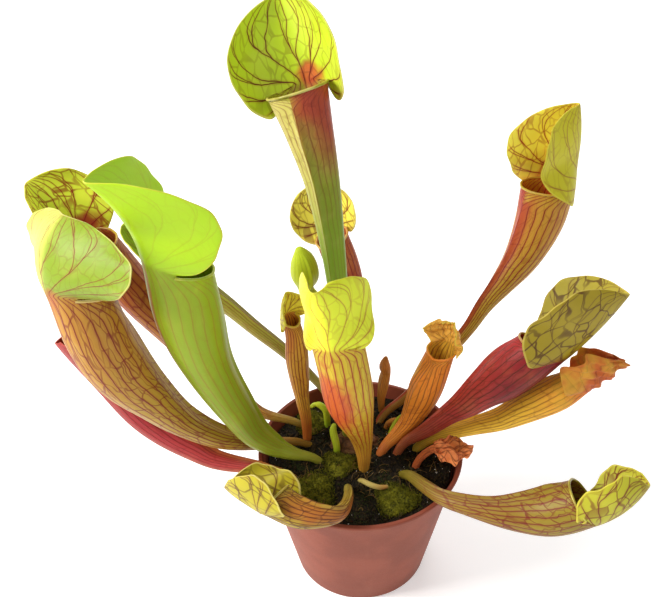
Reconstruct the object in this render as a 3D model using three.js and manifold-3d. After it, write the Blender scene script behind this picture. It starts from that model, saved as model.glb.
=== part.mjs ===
// A pitcher plant of the trumpet kind in a round plastic nursery pot.
// Millimetres, +Z up. The origin is the centre of the pot's base, and -Y is the front.
// Every leaf is one closed solid: a tube swept along its spine, open at the mouth,
// whose back runs on as a hood.
import * as THREE from "three";
import { mergeVertices } from "three/addons/utils/BufferGeometryUtils.js";
import Module from "manifold-3d";

const wasm = await Module();
wasm.setup();

// Pot
const POT_RIM_RADIUS = 60;
const POT_FOOT_RADIUS = 40;
const POT_HEIGHT = 88;
const POT_WALL = 1.4;
const POT_FLOOR = 2;
const RIM_BEAD = 2.4;
const RIM_OVERHANG = 0.9;
const COLLAR_HEIGHT = 16;
const COLLAR_STEP = 0.9;
const POT_SIDES = 36;
const DRAIN_HOLES = 6;
const DRAIN_RADIUS = 3.5;
const DRAIN_RING = 27;
const DRAIN_SIDES = 14;

// Soil, moss and rhizome
const SOIL_LEVEL = 81;
const SOIL_MOUND = 2.2;
const SOIL_BUMP = 0.7;
const SOIL_RINGS = 6;
const RHIZOME_SIZE = [15, 10, 6];
const RHIZOME_CENTRE = [-3, 11, 81.5];
const GAP = 0.35; // between pieces that touch on the real plant
const STEM_GAP = 0.65; // round the stems in their holes
const STEM_TOP = 90; // stems above this are clear of the peat and the moss

// Leaves
const BLADE = 1; // thickness of tube walls and hoods
const LIP = 0.8; // how far the rolled lip stands out
const LIP_HEIGHT = 2.2;
const MOUTH_FROM = 0.8; // the part of the tube above which its rings tip towards the mouth
const HALF_ANGLES = [21, 42, 63, 88, 114, 140, 164].map((angle) => THREE.MathUtils.degToRad(angle));
const OTHER_ANGLES = HALF_ANGLES.map((angle) => 2 * Math.PI - angle).reverse();
const COLUMN_ANGLES = [0, ...HALF_ANGLES, Math.PI, ...OTHER_ANGLES];
const SHOOT_ANGLES = Array.from({ length: 8 }, (_, i) => (i * Math.PI) / 4);
const NECK_COLUMNS = 3;
const NECK = HALF_ANGLES[NECK_COLUMNS - 1];
const HOOD_PLACES = [-1, -0.7, -0.36, 0, 0.36, 0.7, 1]; // from one edge over the keel to the other
const HOOD_ROWS = 7;
const LOBE_ANGLE = -62; // round the hood's outline, from its lower lobes to its tip
const TIP_ANGLE = 80;
const ROW_SPACING = 21; // along a tube
const HOLLOW_FROM = 0.6; // the part of the tube below which it is solid

const COLOURS = {
  terracotta: 0xb86a50,
  peat: 0x2e2219,
  moss: 0x6f8f2a,
  rhizome: 0x5a3a24,
  lime: 0x9fc32a,
  tan: 0xb08a3c,
  crimson: 0x9a2f3c,
  red: 0x9c4a32,
  olive: 0x7d8a34,
  orange: 0xc67a2e,
  withered: 0x9a5a38,
  pale: 0xbfae6a,
};

// Each spine point is [x, y, z, radius]: the first lies in the soil, the last is the middle of the mouth.
// face is the heading, in degrees from +X, of the side with the mouth and the wing, and lift tips it upwards.
// hood: length along its back, width from the back to its edge, lean over the mouth, in degrees, and how far
// its tip stands away from it, fold of the two halves at the back, turn of each half round the mouth, curl of
// the edge the other way, lobe, which is how far the lower corners hang, and wave of the edge.
const PITCHERS = {
  pitcher_tall_back: {
    colour: "lime",
    spine: [
      [-8, 14, 76, 2.6], [-8, 14, 113, 3.2], [-10, 16, 157, 4.5], [-12, 20, 196, 5.7],
      [-15, 25, 225, 7.2], [-19, 30, 253, 9.4], [-25, 37, 278, 12.6], [-30, 44, 295, 15.8],
    ],
    face: 252, lift: 0.45, mouth: 2, wing: 6,
    hood: { length: 47, width: 43, lean: 11, away: 7, fold: 13, turn: 69, curl: 8, lobe: 16, wave: 1.2 },
  },
  pitcher_green_left: {
    colour: "lime",
    spine: [
      [-20, -3, 76, 2.2], [-28, -6, 87, 2.6], [-39, -9, 93, 3.5], [-49, -9, 98, 5.2], [-60, -10, 110, 7.4],
      [-69, -12, 131, 9.7], [-81, -13, 163, 12.8], [-87, -14, 196, 17.4], [-89, -14, 224, 17],
    ],
    face: 36, lift: 0, mouth: 14, wing: 4,
    hood: { length: 54, width: 48, lean: 2, away: 19, fold: 44, turn: 14, curl: 3, lobe: 6, wave: 1.5 },
  },
  pitcher_veined_left: {
    colour: "tan",
    spine: [
      [-25, 12, 76, 2], [-38, 6, 88, 2.4], [-59, -2, 94.5, 3.8], [-79, -7, 103, 5.8], [-99, -16, 126, 8.2],
      [-112, -22, 149, 11.6], [-123, -26, 171, 15.4], [-131, -27, 193, 16.6], [-136, -25, 215, 15.4],
    ],
    face: 48, lift: 0.5, mouth: 14, wing: 3.5,
    hood: { length: 41, width: 58, lean: 38, away: -12, fold: 17, turn: 12, curl: 22, lobe: 4, wave: 1.2 },
  },
  pitcher_red_left_back: {
    colour: "red",
    spine: [
      [-25, 22, 76, 2], [-38, 21, 89, 2.2], [-60, 24, 95, 3.3], [-75, 30, 106, 5.1], [-95, 34, 130, 7.7],
      [-113, 36, 156, 10.4], [-128, 38, 178, 12], [-143, 40, 204, 11.6],
    ],
    face: 330, lift: 0.4, mouth: 10, wing: 3,
    hood: { length: 41, width: 31, lean: 0, away: 4, fold: 14, turn: 60, curl: 16, lobe: 10, wave: 1 },
  },
  pitcher_olive_left_back: {
    colour: "olive",
    spine: [
      [-14, 38, 76, 2.2], [-20, 46, 88, 2.4], [-30, 57, 94, 2.8], [-49, 72, 104, 4.1], [-67, 84, 112, 4.8],
      [-85, 95, 122, 5.6], [-106, 104, 134, 7.8], [-121, 109, 148, 9.4],
    ],
    face: 320, lift: 0.8, mouth: 9, wing: 2,
    hood: { length: 29, width: 24, lean: 5, away: 0, fold: 16, turn: 62, curl: 12, lobe: 9, wave: 1 },
  },
  pitcher_pink_left_low: {
    colour: "crimson",
    spine: [
      [-36, -14, 76, 2], [-44, -18, 87, 2.2], [-54, -20, 93, 2.6], [-66, -17, 91, 3.6], [-84, -12, 91, 5.2],
      [-98, -8, 98, 7.2], [-112, -5, 107, 8.4], [-125, -2, 119, 9.2], [-140, 2, 141, 9.4],
    ],
    face: 20, lift: 0.8, mouth: 9, wing: 2.5,
    hood: { length: 27, width: 23, lean: 0, away: 0, fold: 14, turn: 62, curl: 10, lobe: 8, wave: 1 },
  },
  pitcher_front_centre: {
    colour: "lime",
    spine: [
      [2, -9, 76, 2.6], [2, -12, 96, 4.3], [1, -14, 110, 6.1], [-1, -19, 125, 8.3], [-4, -27, 145, 11.4],
      [-6, -33, 162, 13.2], [-8, -37, 182, 13], [-10, -38, 196, 13],
    ],
    face: 80, lift: 0.2, mouth: 10, wing: 4,
    hood: { length: 42, width: 36, lean: 4, away: 6, fold: 36, turn: 60, curl: 16, lobe: 10, wave: 1.8 },
  },
  pitcher_front_left_drape: {
    colour: "tan",
    spine: [
      [-8, -24, 76, 2], [-7, -31, 89, 2.3], [-7, -48, 97, 3], [-12, -60, 100, 4.5], [-23, -62, 101, 6.7],
      [-33, -60, 101, 8.6], [-43, -55, 103, 10],
    ],
    face: 20, lift: 1.2, mouth: 8, wing: 2.5,
    hood: { length: 25, width: 29, lean: 12, away: 0, fold: 34, turn: 60, curl: 14, lobe: 19, wave: 1.6 },
  },
  pitcher_right_back: {
    colour: "tan",
    spine: [
      [9, 27, 76, 2.4], [15, 32, 86, 2.5], [27, 40, 91, 2.8], [50, 56, 107, 3.1], [68, 69, 123, 3.9],
      [77, 75, 136, 5.2], [87, 82, 146, 7.2], [100, 92, 160, 11], [110, 101, 181, 14.8],
      [113.5, 106, 199.5, 16],
    ],
    face: 204, lift: 0.3, mouth: 5, wing: 3,
    hood: { length: 50, width: 44, lean: 15, away: -2, fold: 46, turn: 67, curl: 46, lobe: 12, wave: 1.4 },
  },
  pitcher_crimson_right: {
    colour: "crimson",
    spine: [
      [19, 1, 76, 2.2], [26, 3, 90, 2.9], [38, 4, 98, 4.1], [52, 6, 109, 5.2], [62, 7, 117, 7.8],
      [71, 9, 125, 10.2], [80, 10, 133, 13], [90, 11, 143, 14], [98, 12, 151, 13.4],
    ],
    face: 144, lift: 0.75, mouth: 8, wing: 3,
    hood: { length: 53, width: 47, lean: 21, away: 3, fold: 33, turn: 32, curl: 11, lobe: 15, wave: 1.4 },
  },
  pitcher_orange_right: {
    colour: "orange",
    spine: [
      [30, 7, 76, 2.4], [41, 6, 90, 3.3], [64, 6, 99, 4.7], [82, 6, 105.5, 6.4], [98, 5.5, 117, 9],
      [112, 6, 126, 10], [120, 7, 132.5, 8.8],
    ],
    face: 124, lift: 1.1, mouth: 4, wing: 2,
    hood: { length: 27, width: 31, lean: 28, away: 5, fold: 14, turn: 76, curl: 16, lobe: 11, wave: 2.4 },
  },
  pitcher_right_front: {
    colour: "tan",
    spine: [
      [22, -10, 76, 2.2], [28, -22, 89, 3], [35, -34, 94, 3.8], [46, -47, 97, 4.3], [58, -53, 98, 5.1],
      [72, -57, 98, 7.2], [85, -58, 98, 10.1], [98, -59, 100, 12.8], [107, -60, 104, 13.6],
      [115, -61, 109, 13.2],
    ],
    face: 122, lift: 1, mouth: 4, wing: 2.5,
    hood: { length: 36, width: 28, lean: 20, away: -6, fold: 13, turn: 80, curl: 8, lobe: 9, wave: 1.6 },
  },
  pitcher_orange_centre_right: {
    colour: "orange",
    spine: [
      [9, -1, 76, 2.2], [14, 3, 86, 3], [22, 9, 91, 4.2], [29, 14, 97, 5.9], [34, 18, 105, 8.2],
      [38, 20, 116, 9.8], [41, 22, 127, 10.4], [44, 24, 137, 9.6],
    ],
    face: 225, lift: 0.5, mouth: 8, wing: 2.5,
    hood: { length: 17, width: 18, lean: 40, away: 0, fold: 8, turn: 66, curl: 26, lobe: 4, wave: 2 },
  },
  pitcher_dark_back: {
    colour: "red",
    spine: [
      [-3, 30, 76, 2], [-4, 31, 107, 2.8], [-6, 36, 134, 4.7], [-6, 43, 158, 7], [-6, 48, 172, 8.6],
      [-10, 53, 185, 9.6], [-14, 57, 195, 9.4],
    ],
    face: 262, lift: 0.4, mouth: 8, wing: 2,
    hood: { length: 28, width: 23, lean: 8, away: 0, fold: 8, turn: 60, curl: 24, lobe: 8, wave: 1.4 },
  },
  pitcher_small_left_centre: {
    colour: "orange",
    spine: [
      [-32, 14, 76, 2.4], [-32, 16, 95, 3.2], [-34, 18, 112, 4.1], [-35, 20, 124, 5.6], [-36, 21, 141, 6.7],
      [-36, 21, 155, 5.9], [-37, 21, 165, 5.4],
    ],
    face: 315, lift: 0.4, mouth: 5, wing: 1.6,
    hood: { length: 18, width: 18, lean: 26, away: 0, fold: 18, turn: 70, curl: 30, lobe: 6, wave: 1.6 },
  },
};

// Leaves that are still closed, hooked or shrunk: only a spine.
const SHOOTS = {
  bud_green: {
    colour: "lime",
    face: 300,
    wing: 2,
    spine: [
      [-14, 32, 76, 2], [-13, 33, 102, 2.5], [-15, 36, 119, 3.6], [-20, 42, 141, 5.4], [-27, 48, 159, 6.6],
      [-31, 51, 168, 6], [-31, 50, 178, 8.4], [-32, 49, 190, 6.6], [-34, 49, 198, 1.6],
    ],
  },
  bud_orange: {
    colour: "orange",
    face: 240,
    wing: 1,
    spine: [
      [14, 37, 76, 1.7], [13, 39, 90, 2.2], [14, 41, 98, 3.2], [15, 43, 105, 3.5], [16, 44, 110, 2.9],
      [15, 43, 115, 3.6], [16, 44, 122, 0.8],
    ],
  },
  shoot_hooked_back: {
    colour: "lime",
    face: 0,
    wing: 0,
    spine: [[-20, 25, 76, 1.6], [-20, 25, 88, 2], [-21, 26, 95, 2], [-26, 28, 98, 1.8], [-30, 29, 94, 1]],
  },
  shoot_hooked_front: {
    colour: "lime",
    face: 0,
    wing: 0,
    spine: [[-14, 2, 76, 1.7], [-14, 4, 87, 2.1], [-16, 9, 94, 2.1], [-15, 11, 98, 1]],
  },
  blade_green: {
    colour: "lime",
    face: 90,
    wing: 0,
    spine: [[17, 13, 76, 1.4], [19, 16, 86, 1.9], [22, 19, 92, 1.4], [25, 20, 96, 0.8]],
  },
  stub_orange: {
    colour: "orange",
    face: 90,
    wing: 0,
    spine: [[15, 24, 76, 1.5], [17, 24, 85, 1.7], [21, 24, 88, 1.6], [24, 23.6, 88.5, 1]],
  },
  stub_curled: {
    colour: "pale",
    face: 90,
    wing: 0,
    spine: [
      [-1, -19, 77, 1.3], [0, -21, 84, 1.4], [5, -26, 86, 1.5], [11, -28, 85.6, 1.4], [16, -27, 85.4, 0.9],
    ],
  },
};

// The withered leaf: a petiole that opens into a crumpled blade over the rim.
const WITHERED = {
  colour: "withered",
  face: 90,
  spine: [[31, -8, 76, 1.8], [34, -9, 88, 1.8], [40, -11, 98, 1.8], [44, -12, 101, 2.2]],
  blade: { length: 21, width: 9, crumple: 2.6 },
};

const MOSS = [
  { name: "moss_left_back", at: [-30, 28], radius: 9, height: 3.6 },
  { name: "moss_left_front", at: [-27, -27], radius: 12, height: 2.2 },
  { name: "moss_centre", at: [-12, -8], radius: 9, height: 4 },
  { name: "moss_right_front", at: [20, -34], radius: 11, height: 2 },
];

// A closed three.js geometry as a solid that can be joined and cut.
function toSolid(geometry) {
  const bare = geometry.clone();
  bare.deleteAttribute("normal");
  bare.deleteAttribute("uv");
  const merged = mergeVertices(bare, 1e-4);
  return new wasm.Manifold(
    new wasm.Mesh({
      numProp: 3,
      vertProperties: new Float32Array(merged.attributes.position.array),
      triVerts: new Uint32Array(merged.index.array),
    }),
  );
}

// A solid as a three.js geometry.
function toGeometry(solid) {
  const mesh = solid.getMesh();
  const geometry = new THREE.BufferGeometry();
  geometry.setAttribute("position", new THREE.BufferAttribute(mesh.vertProperties, 3));
  geometry.setIndex(new THREE.BufferAttribute(mesh.triVerts, 1));
  geometry.computeVertexNormals();
  return geometry;
}

// The largest body of a solid, without the crumbs that a cut may leave.
function largestBody(solid) {
  return solid.decompose().reduce((a, b) => (b.volume() > a.volume() ? b : a));
}

// A named mesh with a plain material.
function makeMesh(name, geometry, colour, roughness = 0.55) {
  const material = new THREE.MeshStandardMaterial({ color: COLOURS[colour], roughness, metalness: 0 });
  const mesh = new THREE.Mesh(geometry, material);
  mesh.name = name;
  return mesh;
}

// 0 at and below zero, 1 at and above one, smooth between.
function ease(x) {
  return THREE.MathUtils.smoothstep(x, 0, 1);
}

// The spine's place, radius and frame at t: along is its direction, front the side with the mouth.
function spineFrame(spine, face, lift, t) {
  const path = new THREE.CatmullRomCurve3(spine.map((p) => new THREE.Vector3(p[0], p[1], p[2])));
  const widths = spine.map((p) => new THREE.Vector3(p[3], 0, 0));
  const radii = new THREE.CatmullRomCurve3(widths, false, "catmullrom");
  const along = path.getTangent(t);
  const heading = THREE.MathUtils.degToRad(face);
  const front = new THREE.Vector3(Math.cos(heading), Math.sin(heading), lift);
  front.addScaledVector(along, -front.dot(along)).normalize();
  const side = new THREE.Vector3().crossVectors(front, along);
  return { place: path.getPoint(t), radius: radii.getPoint(t).x, along, front, side };
}

// Half of a hood's cross-section, from the keel outwards: a curve of the given length whose direction starts
// at fold, turns by turn and bends back by curl near its end. Returns the place and inward normal at part u.
function halfSection({ length, fold, turn, curl }, u) {
  const steps = 24;
  const angle = (w) => fold * ease(w * 5) + turn * w - curl * w ** 3;
  let [x, y] = [0, 0];
  for (let i = 0; i < steps; i += 1) {
    const middle = angle((u * (i + 0.5)) / steps);
    x += (Math.cos(middle) * length * u) / steps;
    y += (Math.sin(middle) * length * u) / steps;
  }
  const end = angle(u);
  return { x, y, nx: -Math.sin(end), ny: Math.cos(end) };
}

// Places along the spine where a tube has a ring of vertices: the last two are the mouth and its lip.
function tubeSteps(spine, hasMouth) {
  const places = spine.map((p) => new THREE.Vector3(p[0], p[1], p[2]));
  const length = new THREE.CatmullRomCurve3(places).getLength();
  const count = Math.max(4, spine.length - 1, Math.round(length / ROW_SPACING));
  const steps = Array.from({ length: count + 1 }, (_, i) => i / count);
  if (hasMouth) steps.splice(count, 0, 1 - LIP_HEIGHT / length);
  return steps;
}

// The places of a leaf's rings as far as the first one above the pot.
function stemSteps(leaf) {
  const steps = tubeSteps(leaf.spine, leaf.hood !== undefined);
  const clear = steps.findIndex((t) => spineFrame(leaf.spine, 0, 1, t).place.z > STEM_TOP);
  return clear < 0 ? steps : steps.slice(0, clear + 1);
}

// A ring round the tube at t, COLUMNS vertices from the keel at the back, depth inside its skin.
function tubeRing(leaf, t, depth) {
  const { spine, face, lift = 0.3, mouth = 0, wing = 0, hood } = leaf;
  const { place, radius, along, front, side } = spineFrame(spine, face, lift, t);
  const tilt = mouth * ease((t - MOUTH_FROM) / (1 - MOUTH_FROM));
  const isLip = t === 1 && hood !== undefined;
  return (leaf.angles ?? COLUMN_ANGLES).map((angle) => {
    const isSeam = angle === Math.PI;
    const isNeck = Math.abs(Math.cos(angle)) > Math.cos(NECK) - 0.01 && Math.cos(angle) > 0;
    const ridge = isSeam && depth === 0 ? wing * ease(t * 4 - 0.6) * ease((1 - t) * 5) : 0;
    const lip = isLip && !isNeck && depth === 0 ? LIP : 0;
    const reach = radius - depth + ridge + lip;
    const point = place.clone().addScaledVector(side, Math.sin(angle) * reach);
    point.addScaledVector(front, -Math.cos(angle) * reach);
    return point.addScaledVector(along, (tilt * (1 + Math.cos(angle))) / 2);
  });
}

// Rows of the hood above the neck, each from one edge over the keel to the other, depth inside its skin.
function hoodRows(leaf, depth) {
  const { spine, face, lift = 0.3, mouth, hood } = leaf;
  const { place, radius, along: axis, front: inward, side } = spineFrame(spine, face, lift, 1);
  const keel = place.clone().addScaledVector(inward, -radius).addScaledVector(axis, mouth);
  const neckLength = NECK * radius;
  const { degToRad } = THREE.MathUtils;
  const middle = (hood.length - hood.lobe) / 2;
  const reach = (hood.length + hood.lobe) / 2;
  const rows = [];
  for (let i = 1; i <= HOOD_ROWS; i += 1) {
    const v = i / HOOD_ROWS;
    const bend = degToRad(hood.lean) * (v - 0.5 / HOOD_ROWS);
    const along = axis.clone().multiplyScalar(Math.cos(bend)).addScaledVector(inward, Math.sin(bend));
    const front = inward.clone().multiplyScalar(Math.cos(bend)).addScaledVector(axis, -Math.sin(bend));
    keel.addScaledVector(along, hood.length / HOOD_ROWS);
    keel.addScaledVector(front, (-hood.away * (2 * v - 1 / HOOD_ROWS)) / HOOD_ROWS);
    const round = degToRad(THREE.MathUtils.lerp(LOBE_ANGLE, TIP_ANGLE, (i - 1) / (HOOD_ROWS - 1)));
    const edge = middle + reach * Math.sin(round) - hood.length * v;
    const free = ease(v * 2.2);
    const section = {
      length: Math.max(neckLength * (1 - v), hood.width * Math.cos(round) ** 0.8),
      fold: degToRad(hood.fold) * free,
      turn: THREE.MathUtils.lerp(NECK, degToRad(hood.turn), free),
      curl: degToRad(hood.curl),
    };
    const wave = hood.wave * Math.sin(v * 13);
    const row = HOOD_PLACES.map((s) => {
      const u = Math.abs(s);
      const p = halfSection(section, u);
      const x = (p.x + (s === 0 ? 0 : p.nx * depth)) * Math.sign(s);
      const y = p.y + (s === 0 ? depth : p.ny * depth) + wave * u ** 3 * Math.sign(s);
      const point = keel.clone().addScaledVector(side, x).addScaledVector(front, y);
      return point.addScaledVector(along, edge * u * u);
    });
    rows.push(row);
  }
  return rows;
}

// A closed skin over a leaf. A pitcher is hollow from HOLLOW_FROM up, open at its mouth, and the NECK_COLUMNS
// to each side of its keel run on as the hood. A leaf without a hood is solid and closed at its end.
function leafGeometry(leaf) {
  const hasHood = leaf.hood !== undefined;
  const steps = leaf.steps ?? tubeSteps(leaf.spine, hasHood);
  const positions = [];
  const indices = [];
  const add = (point) => positions.push(point.x, point.y, point.z) / 3 - 1;
  const face = (a, b, c) => indices.push(a, b, c);
  const quad = (a, b, c, d) => {
    face(a, b, c);
    face(a, c, d);
  };
  const loop = (leaf.angles ?? COLUMN_ANGLES).length;
  const layRings = (rings, isInner) => {
    for (let i = 0; i < rings.length - 1; i += 1) {
      for (let j = 0; j < loop; j += 1) {
        const [a, b] = [rings[i][j], rings[i][(j + 1) % loop]];
        const [c, d] = [rings[i + 1][(j + 1) % loop], rings[i + 1][j]];
        if (isInner) quad(a, d, c, b);
        else quad(a, b, c, d);
      }
    }
  };
  const cap = (ring, t, isFacingUp) => {
    const centre = add(spineFrame(leaf.spine, leaf.face, leaf.lift ?? 0.3, t).place);
    for (let j = 0; j < loop; j += 1) {
      const [a, b] = [ring[j], ring[(j + 1) % loop]];
      if (isFacingUp) face(centre, a, b);
      else face(centre, b, a);
    }
  };
  const outer = steps.map((t) => tubeRing(leaf, t, 0).map(add));
  layRings(outer, false);
  cap(outer[0], 0, false);
  if (!hasHood) {
    cap(outer.at(-1), steps.at(-1), true);
    return finishedGeometry(positions, indices);
  }
  const innerSteps = steps.slice(Math.round(steps.length * HOLLOW_FROM));
  const inner = innerSteps.map((t) => tubeRing(leaf, t, BLADE).map(add));
  layRings(inner, true);
  cap(inner[0], innerSteps[0], true);
  // The neck's vertices in the order of the hood's, from one edge over the keel to the other.
  const neck = (ring) => HOOD_PLACES.map((_, j) => ring[(j - NECK_COLUMNS + loop) % loop]);
  const outerHood = [neck(outer.at(-1)), ...hoodRows(leaf, 0).map((row) => row.map(add))];
  const innerHood = [neck(inner.at(-1)), ...hoodRows(leaf, BLADE).map((row) => row.map(add))];
  const across = HOOD_PLACES.length - 1;
  for (let i = 0; i < HOOD_ROWS; i += 1) {
    for (let j = 0; j < across; j += 1) {
      quad(outerHood[i][j], outerHood[i][j + 1], outerHood[i + 1][j + 1], outerHood[i + 1][j]);
      quad(innerHood[i][j], innerHood[i + 1][j], innerHood[i + 1][j + 1], innerHood[i][j + 1]);
    }
    quad(outerHood[i][0], outerHood[i + 1][0], innerHood[i + 1][0], innerHood[i][0]);
    quad(outerHood[i + 1][across], outerHood[i][across], innerHood[i][across], innerHood[i + 1][across]);
  }
  for (let j = 0; j < across; j += 1) {
    quad(outerHood.at(-1)[j], outerHood.at(-1)[j + 1], innerHood.at(-1)[j + 1], innerHood.at(-1)[j]);
  }
  for (let j = NECK_COLUMNS; j < loop - NECK_COLUMNS; j += 1) {
    const next = (j + 1) % loop;
    quad(outer.at(-1)[j], outer.at(-1)[next], inner.at(-1)[next], inner.at(-1)[j]);
  }
  return finishedGeometry(positions, indices);
}

// A geometry from its vertices and triangles.
function finishedGeometry(positions, indices) {
  const geometry = new THREE.BufferGeometry();
  geometry.setAttribute("position", new THREE.BufferAttribute(new Float32Array(positions), 3));
  geometry.setIndex(indices);
  geometry.computeVertexNormals();
  return geometry;
}

// The lower stem of a leaf, grown by the gap, which cuts its hole into what the leaf stands in.
function stemCutter(leaf) {
  const spine = leaf.spine.map(([x, y, z, radius]) => [x, y, z, radius + STEM_GAP]);
  spine[0] = [spine[0][0], spine[0][1], spine[0][2] - STEM_GAP, spine[0][3]];
  return toSolid(leafGeometry({ ...leaf, spine, steps: stemSteps(leaf), hood: undefined }));
}

// The pot's wall: a lathed profile with a collar, a beaded rim and a ring of drainage holes.
function potGeometry() {
  const slope = (POT_RIM_RADIUS - RIM_OVERHANG - COLLAR_STEP - POT_FOOT_RADIUS) / POT_HEIGHT;
  const wallAt = (z) => POT_FOOT_RADIUS + slope * z;
  const collar = POT_HEIGHT - COLLAR_HEIGHT;
  const bead = POT_HEIGHT - RIM_BEAD;
  const profile = [
    [0, 0],
    [POT_FOOT_RADIUS - 0.8, 0],
    [wallAt(0.8), 0.8],
    [wallAt(collar), collar],
    [wallAt(collar) + COLLAR_STEP, collar + 0.8],
    [wallAt(bead) + COLLAR_STEP, bead],
    [POT_RIM_RADIUS, bead + 0.6],
    [POT_RIM_RADIUS, POT_HEIGHT - 0.5],
    [POT_RIM_RADIUS - 0.5, POT_HEIGHT],
    [wallAt(POT_HEIGHT) + COLLAR_STEP - POT_WALL, POT_HEIGHT],
    [wallAt(collar) + COLLAR_STEP - POT_WALL, collar],
    [wallAt(collar - 1) - POT_WALL, collar - 1],
    [wallAt(POT_FLOOR) - POT_WALL, POT_FLOOR],
    [0, POT_FLOOR],
  ].map(([r, z]) => new THREE.Vector2(r, z));
  const lathe = new THREE.LatheGeometry(profile, POT_SIDES).rotateX(Math.PI / 2);
  let pot = toSolid(lathe);
  for (let i = 0; i < DRAIN_HOLES; i += 1) {
    const angle = (2 * Math.PI * i) / DRAIN_HOLES;
    const hole = new THREE.CylinderGeometry(DRAIN_RADIUS, DRAIN_RADIUS, POT_FLOOR * 4, DRAIN_SIDES);
    hole.rotateX(Math.PI / 2);
    hole.translate(DRAIN_RING * Math.cos(angle), DRAIN_RING * Math.sin(angle), POT_FLOOR / 2);
    pot = pot.subtract(toSolid(hole));
  }
  return toGeometry(pot);
}

// Height of the peat's surface.
function soilHeight(x, y) {
  const mound = SOIL_MOUND * Math.exp(-(x * x + y * y) / 900);
  const bumps = Math.sin(x * 0.31 + 1) * Math.cos(y * 0.27) + Math.sin((x + y) * 0.17);
  return SOIL_LEVEL + mound + SOIL_BUMP * bumps;
}

// Rings of vertices over the peat, closed at the middle, then down the pot's inner side and across its floor.
// raised lifts the surface, which gives the shape that cuts the underside of what grows on it.
function soilSolid(raised = 0) {
  const surface = (x, y) => soilHeight(x, y) + raised;
  const slope = (POT_RIM_RADIUS - RIM_OVERHANG - COLLAR_STEP - POT_FOOT_RADIUS) / POT_HEIGHT;
  const innerAt = (z) => POT_FOOT_RADIUS + slope * z - POT_WALL - GAP;
  const collar = POT_HEIGHT - COLLAR_HEIGHT;
  const bottom = POT_FLOOR + GAP;
  const rings = [];
  for (let k = 1; k <= SOIL_RINGS; k += 1) {
    rings.push({ radius: (innerAt(SOIL_LEVEL) * k) / SOIL_RINGS, height: surface });
  }
  rings.push({ radius: innerAt(collar - 1), height: () => collar - 1 });
  rings.push({ radius: innerAt(bottom), height: () => bottom });
  const radii = [0, ...rings.map((ring) => ring.radius), 0];
  const profile = radii.map((radius, k) => new THREE.Vector2(radius, k / radii.length)).reverse();
  const geometry = new THREE.LatheGeometry(profile, POT_SIDES).rotateX(Math.PI / 2);
  const position = geometry.attributes.position;
  const count = profile.length;
  for (let i = 0; i < position.count; i += 1) {
    const k = count - 1 - (i % count);
    const [x, y] = [position.getX(i), position.getY(i)];
    if (k === 0) position.setXYZ(i, 0, 0, surface(0, 0));
    else if (k === count - 1) position.setXYZ(i, 0, 0, bottom);
    else position.setZ(i, rings[k - 1].height(x, y));
  }
  return toSolid(geometry);
}

// The crown: a knobbly half-buried lump that the petioles rise round.
function rhizomeSolid() {
  const geometry = new THREE.SphereGeometry(1, 16, 9).rotateX(Math.PI / 2);
  const position = geometry.attributes.position;
  const p = new THREE.Vector3();
  for (let i = 0; i < position.count; i += 1) {
    p.fromBufferAttribute(position, i);
    const knob = 1 + 0.08 * Math.sin(p.x * 9 + 1) * Math.cos(p.y * 7) + 0.05 * Math.sin(p.z * 11);
    p.multiplyScalar(knob);
    position.setXYZ(i, p.x * RHIZOME_SIZE[0], p.y * RHIZOME_SIZE[1], p.z * RHIZOME_SIZE[2]);
  }
  geometry.translate(...RHIZOME_CENTRE);
  return toSolid(geometry);
}

// A moss cushion: a bumpy dome cut to the peat beneath it.
function mossSolid({ at, radius, height }) {
  const sides = 16;
  const rings = 4;
  const profile = [new THREE.Vector2(0, 1)];
  for (let k = 1; k <= rings; k += 1) profile.push(new THREE.Vector2(k / rings, 1));
  profile.push(new THREE.Vector2(0.5, 0), new THREE.Vector2(0, 0));
  const geometry = new THREE.LatheGeometry(profile.reverse(), sides).rotateX(Math.PI / 2);
  const position = geometry.attributes.position;
  for (let i = 0; i < position.count; i += 1) {
    const [x, y] = [position.getX(i), position.getY(i)];
    const isTop = position.getZ(i) > 0.5;
    const edge = 1 + 0.14 * Math.sin(Math.atan2(y, x) * 3 + at[0]);
    const [px, py] = [at[0] + x * radius * edge, at[1] + y * radius * edge];
    const dome = height * (1 - (x * x + y * y) ** 1.5) * (1 + 0.22 * Math.sin(px * 0.9) * Math.cos(py * 0.8));
    position.setXYZ(i, px, py, isTop ? soilHeight(px, py) + 1.2 + dome : SOIL_LEVEL - 4);
  }
  return largestBody(toSolid(geometry).subtract(soilSolid(GAP)));
}

// The withered leaf: its petiole joined to a crumpled blade.
function witheredSolid() {
  const { spine, blade } = WITHERED;
  const petiole = toSolid(leafGeometry({ spine, face: 90, angles: SHOOT_ANGLES }));
  const end = spine[spine.length - 1];
  const sheet = new THREE.BoxGeometry(blade.length, blade.width * 2, BLADE * 1.3, 9, 8, 1);
  const position = sheet.attributes.position;
  for (let i = 0; i < position.count; i += 1) {
    const along = position.getX(i) / blade.length + 0.5;
    const across = position.getY(i) / blade.width;
    const outline = Math.sin(Math.PI * (0.12 + 0.8 * along)) * (1 + 0.2 * Math.sin(along * 14));
    const crease = Math.sin(along * 9 + across * 4) + 0.6 * Math.cos(across * 7 - along * 5);
    const x = end[0] - 2 + blade.length * along * (1 - 0.1 * across * across);
    const y = end[1] + blade.width * across * outline;
    const sag = 3 * along * along + 5 * across * across * outline;
    position.setXYZ(i, x, y, end[2] + 1 + position.getZ(i) + blade.crumple * crease * 0.5 - sag * 0.6);
  }
  return petiole.add(toSolid(sheet));
}

// Cuts every stem's hole into a solid that the stems stand in.
function withStemHoles(solid, cutters) {
  return largestBody(cutters.reduce((rest, cutter) => rest.subtract(cutter), solid));
}

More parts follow.
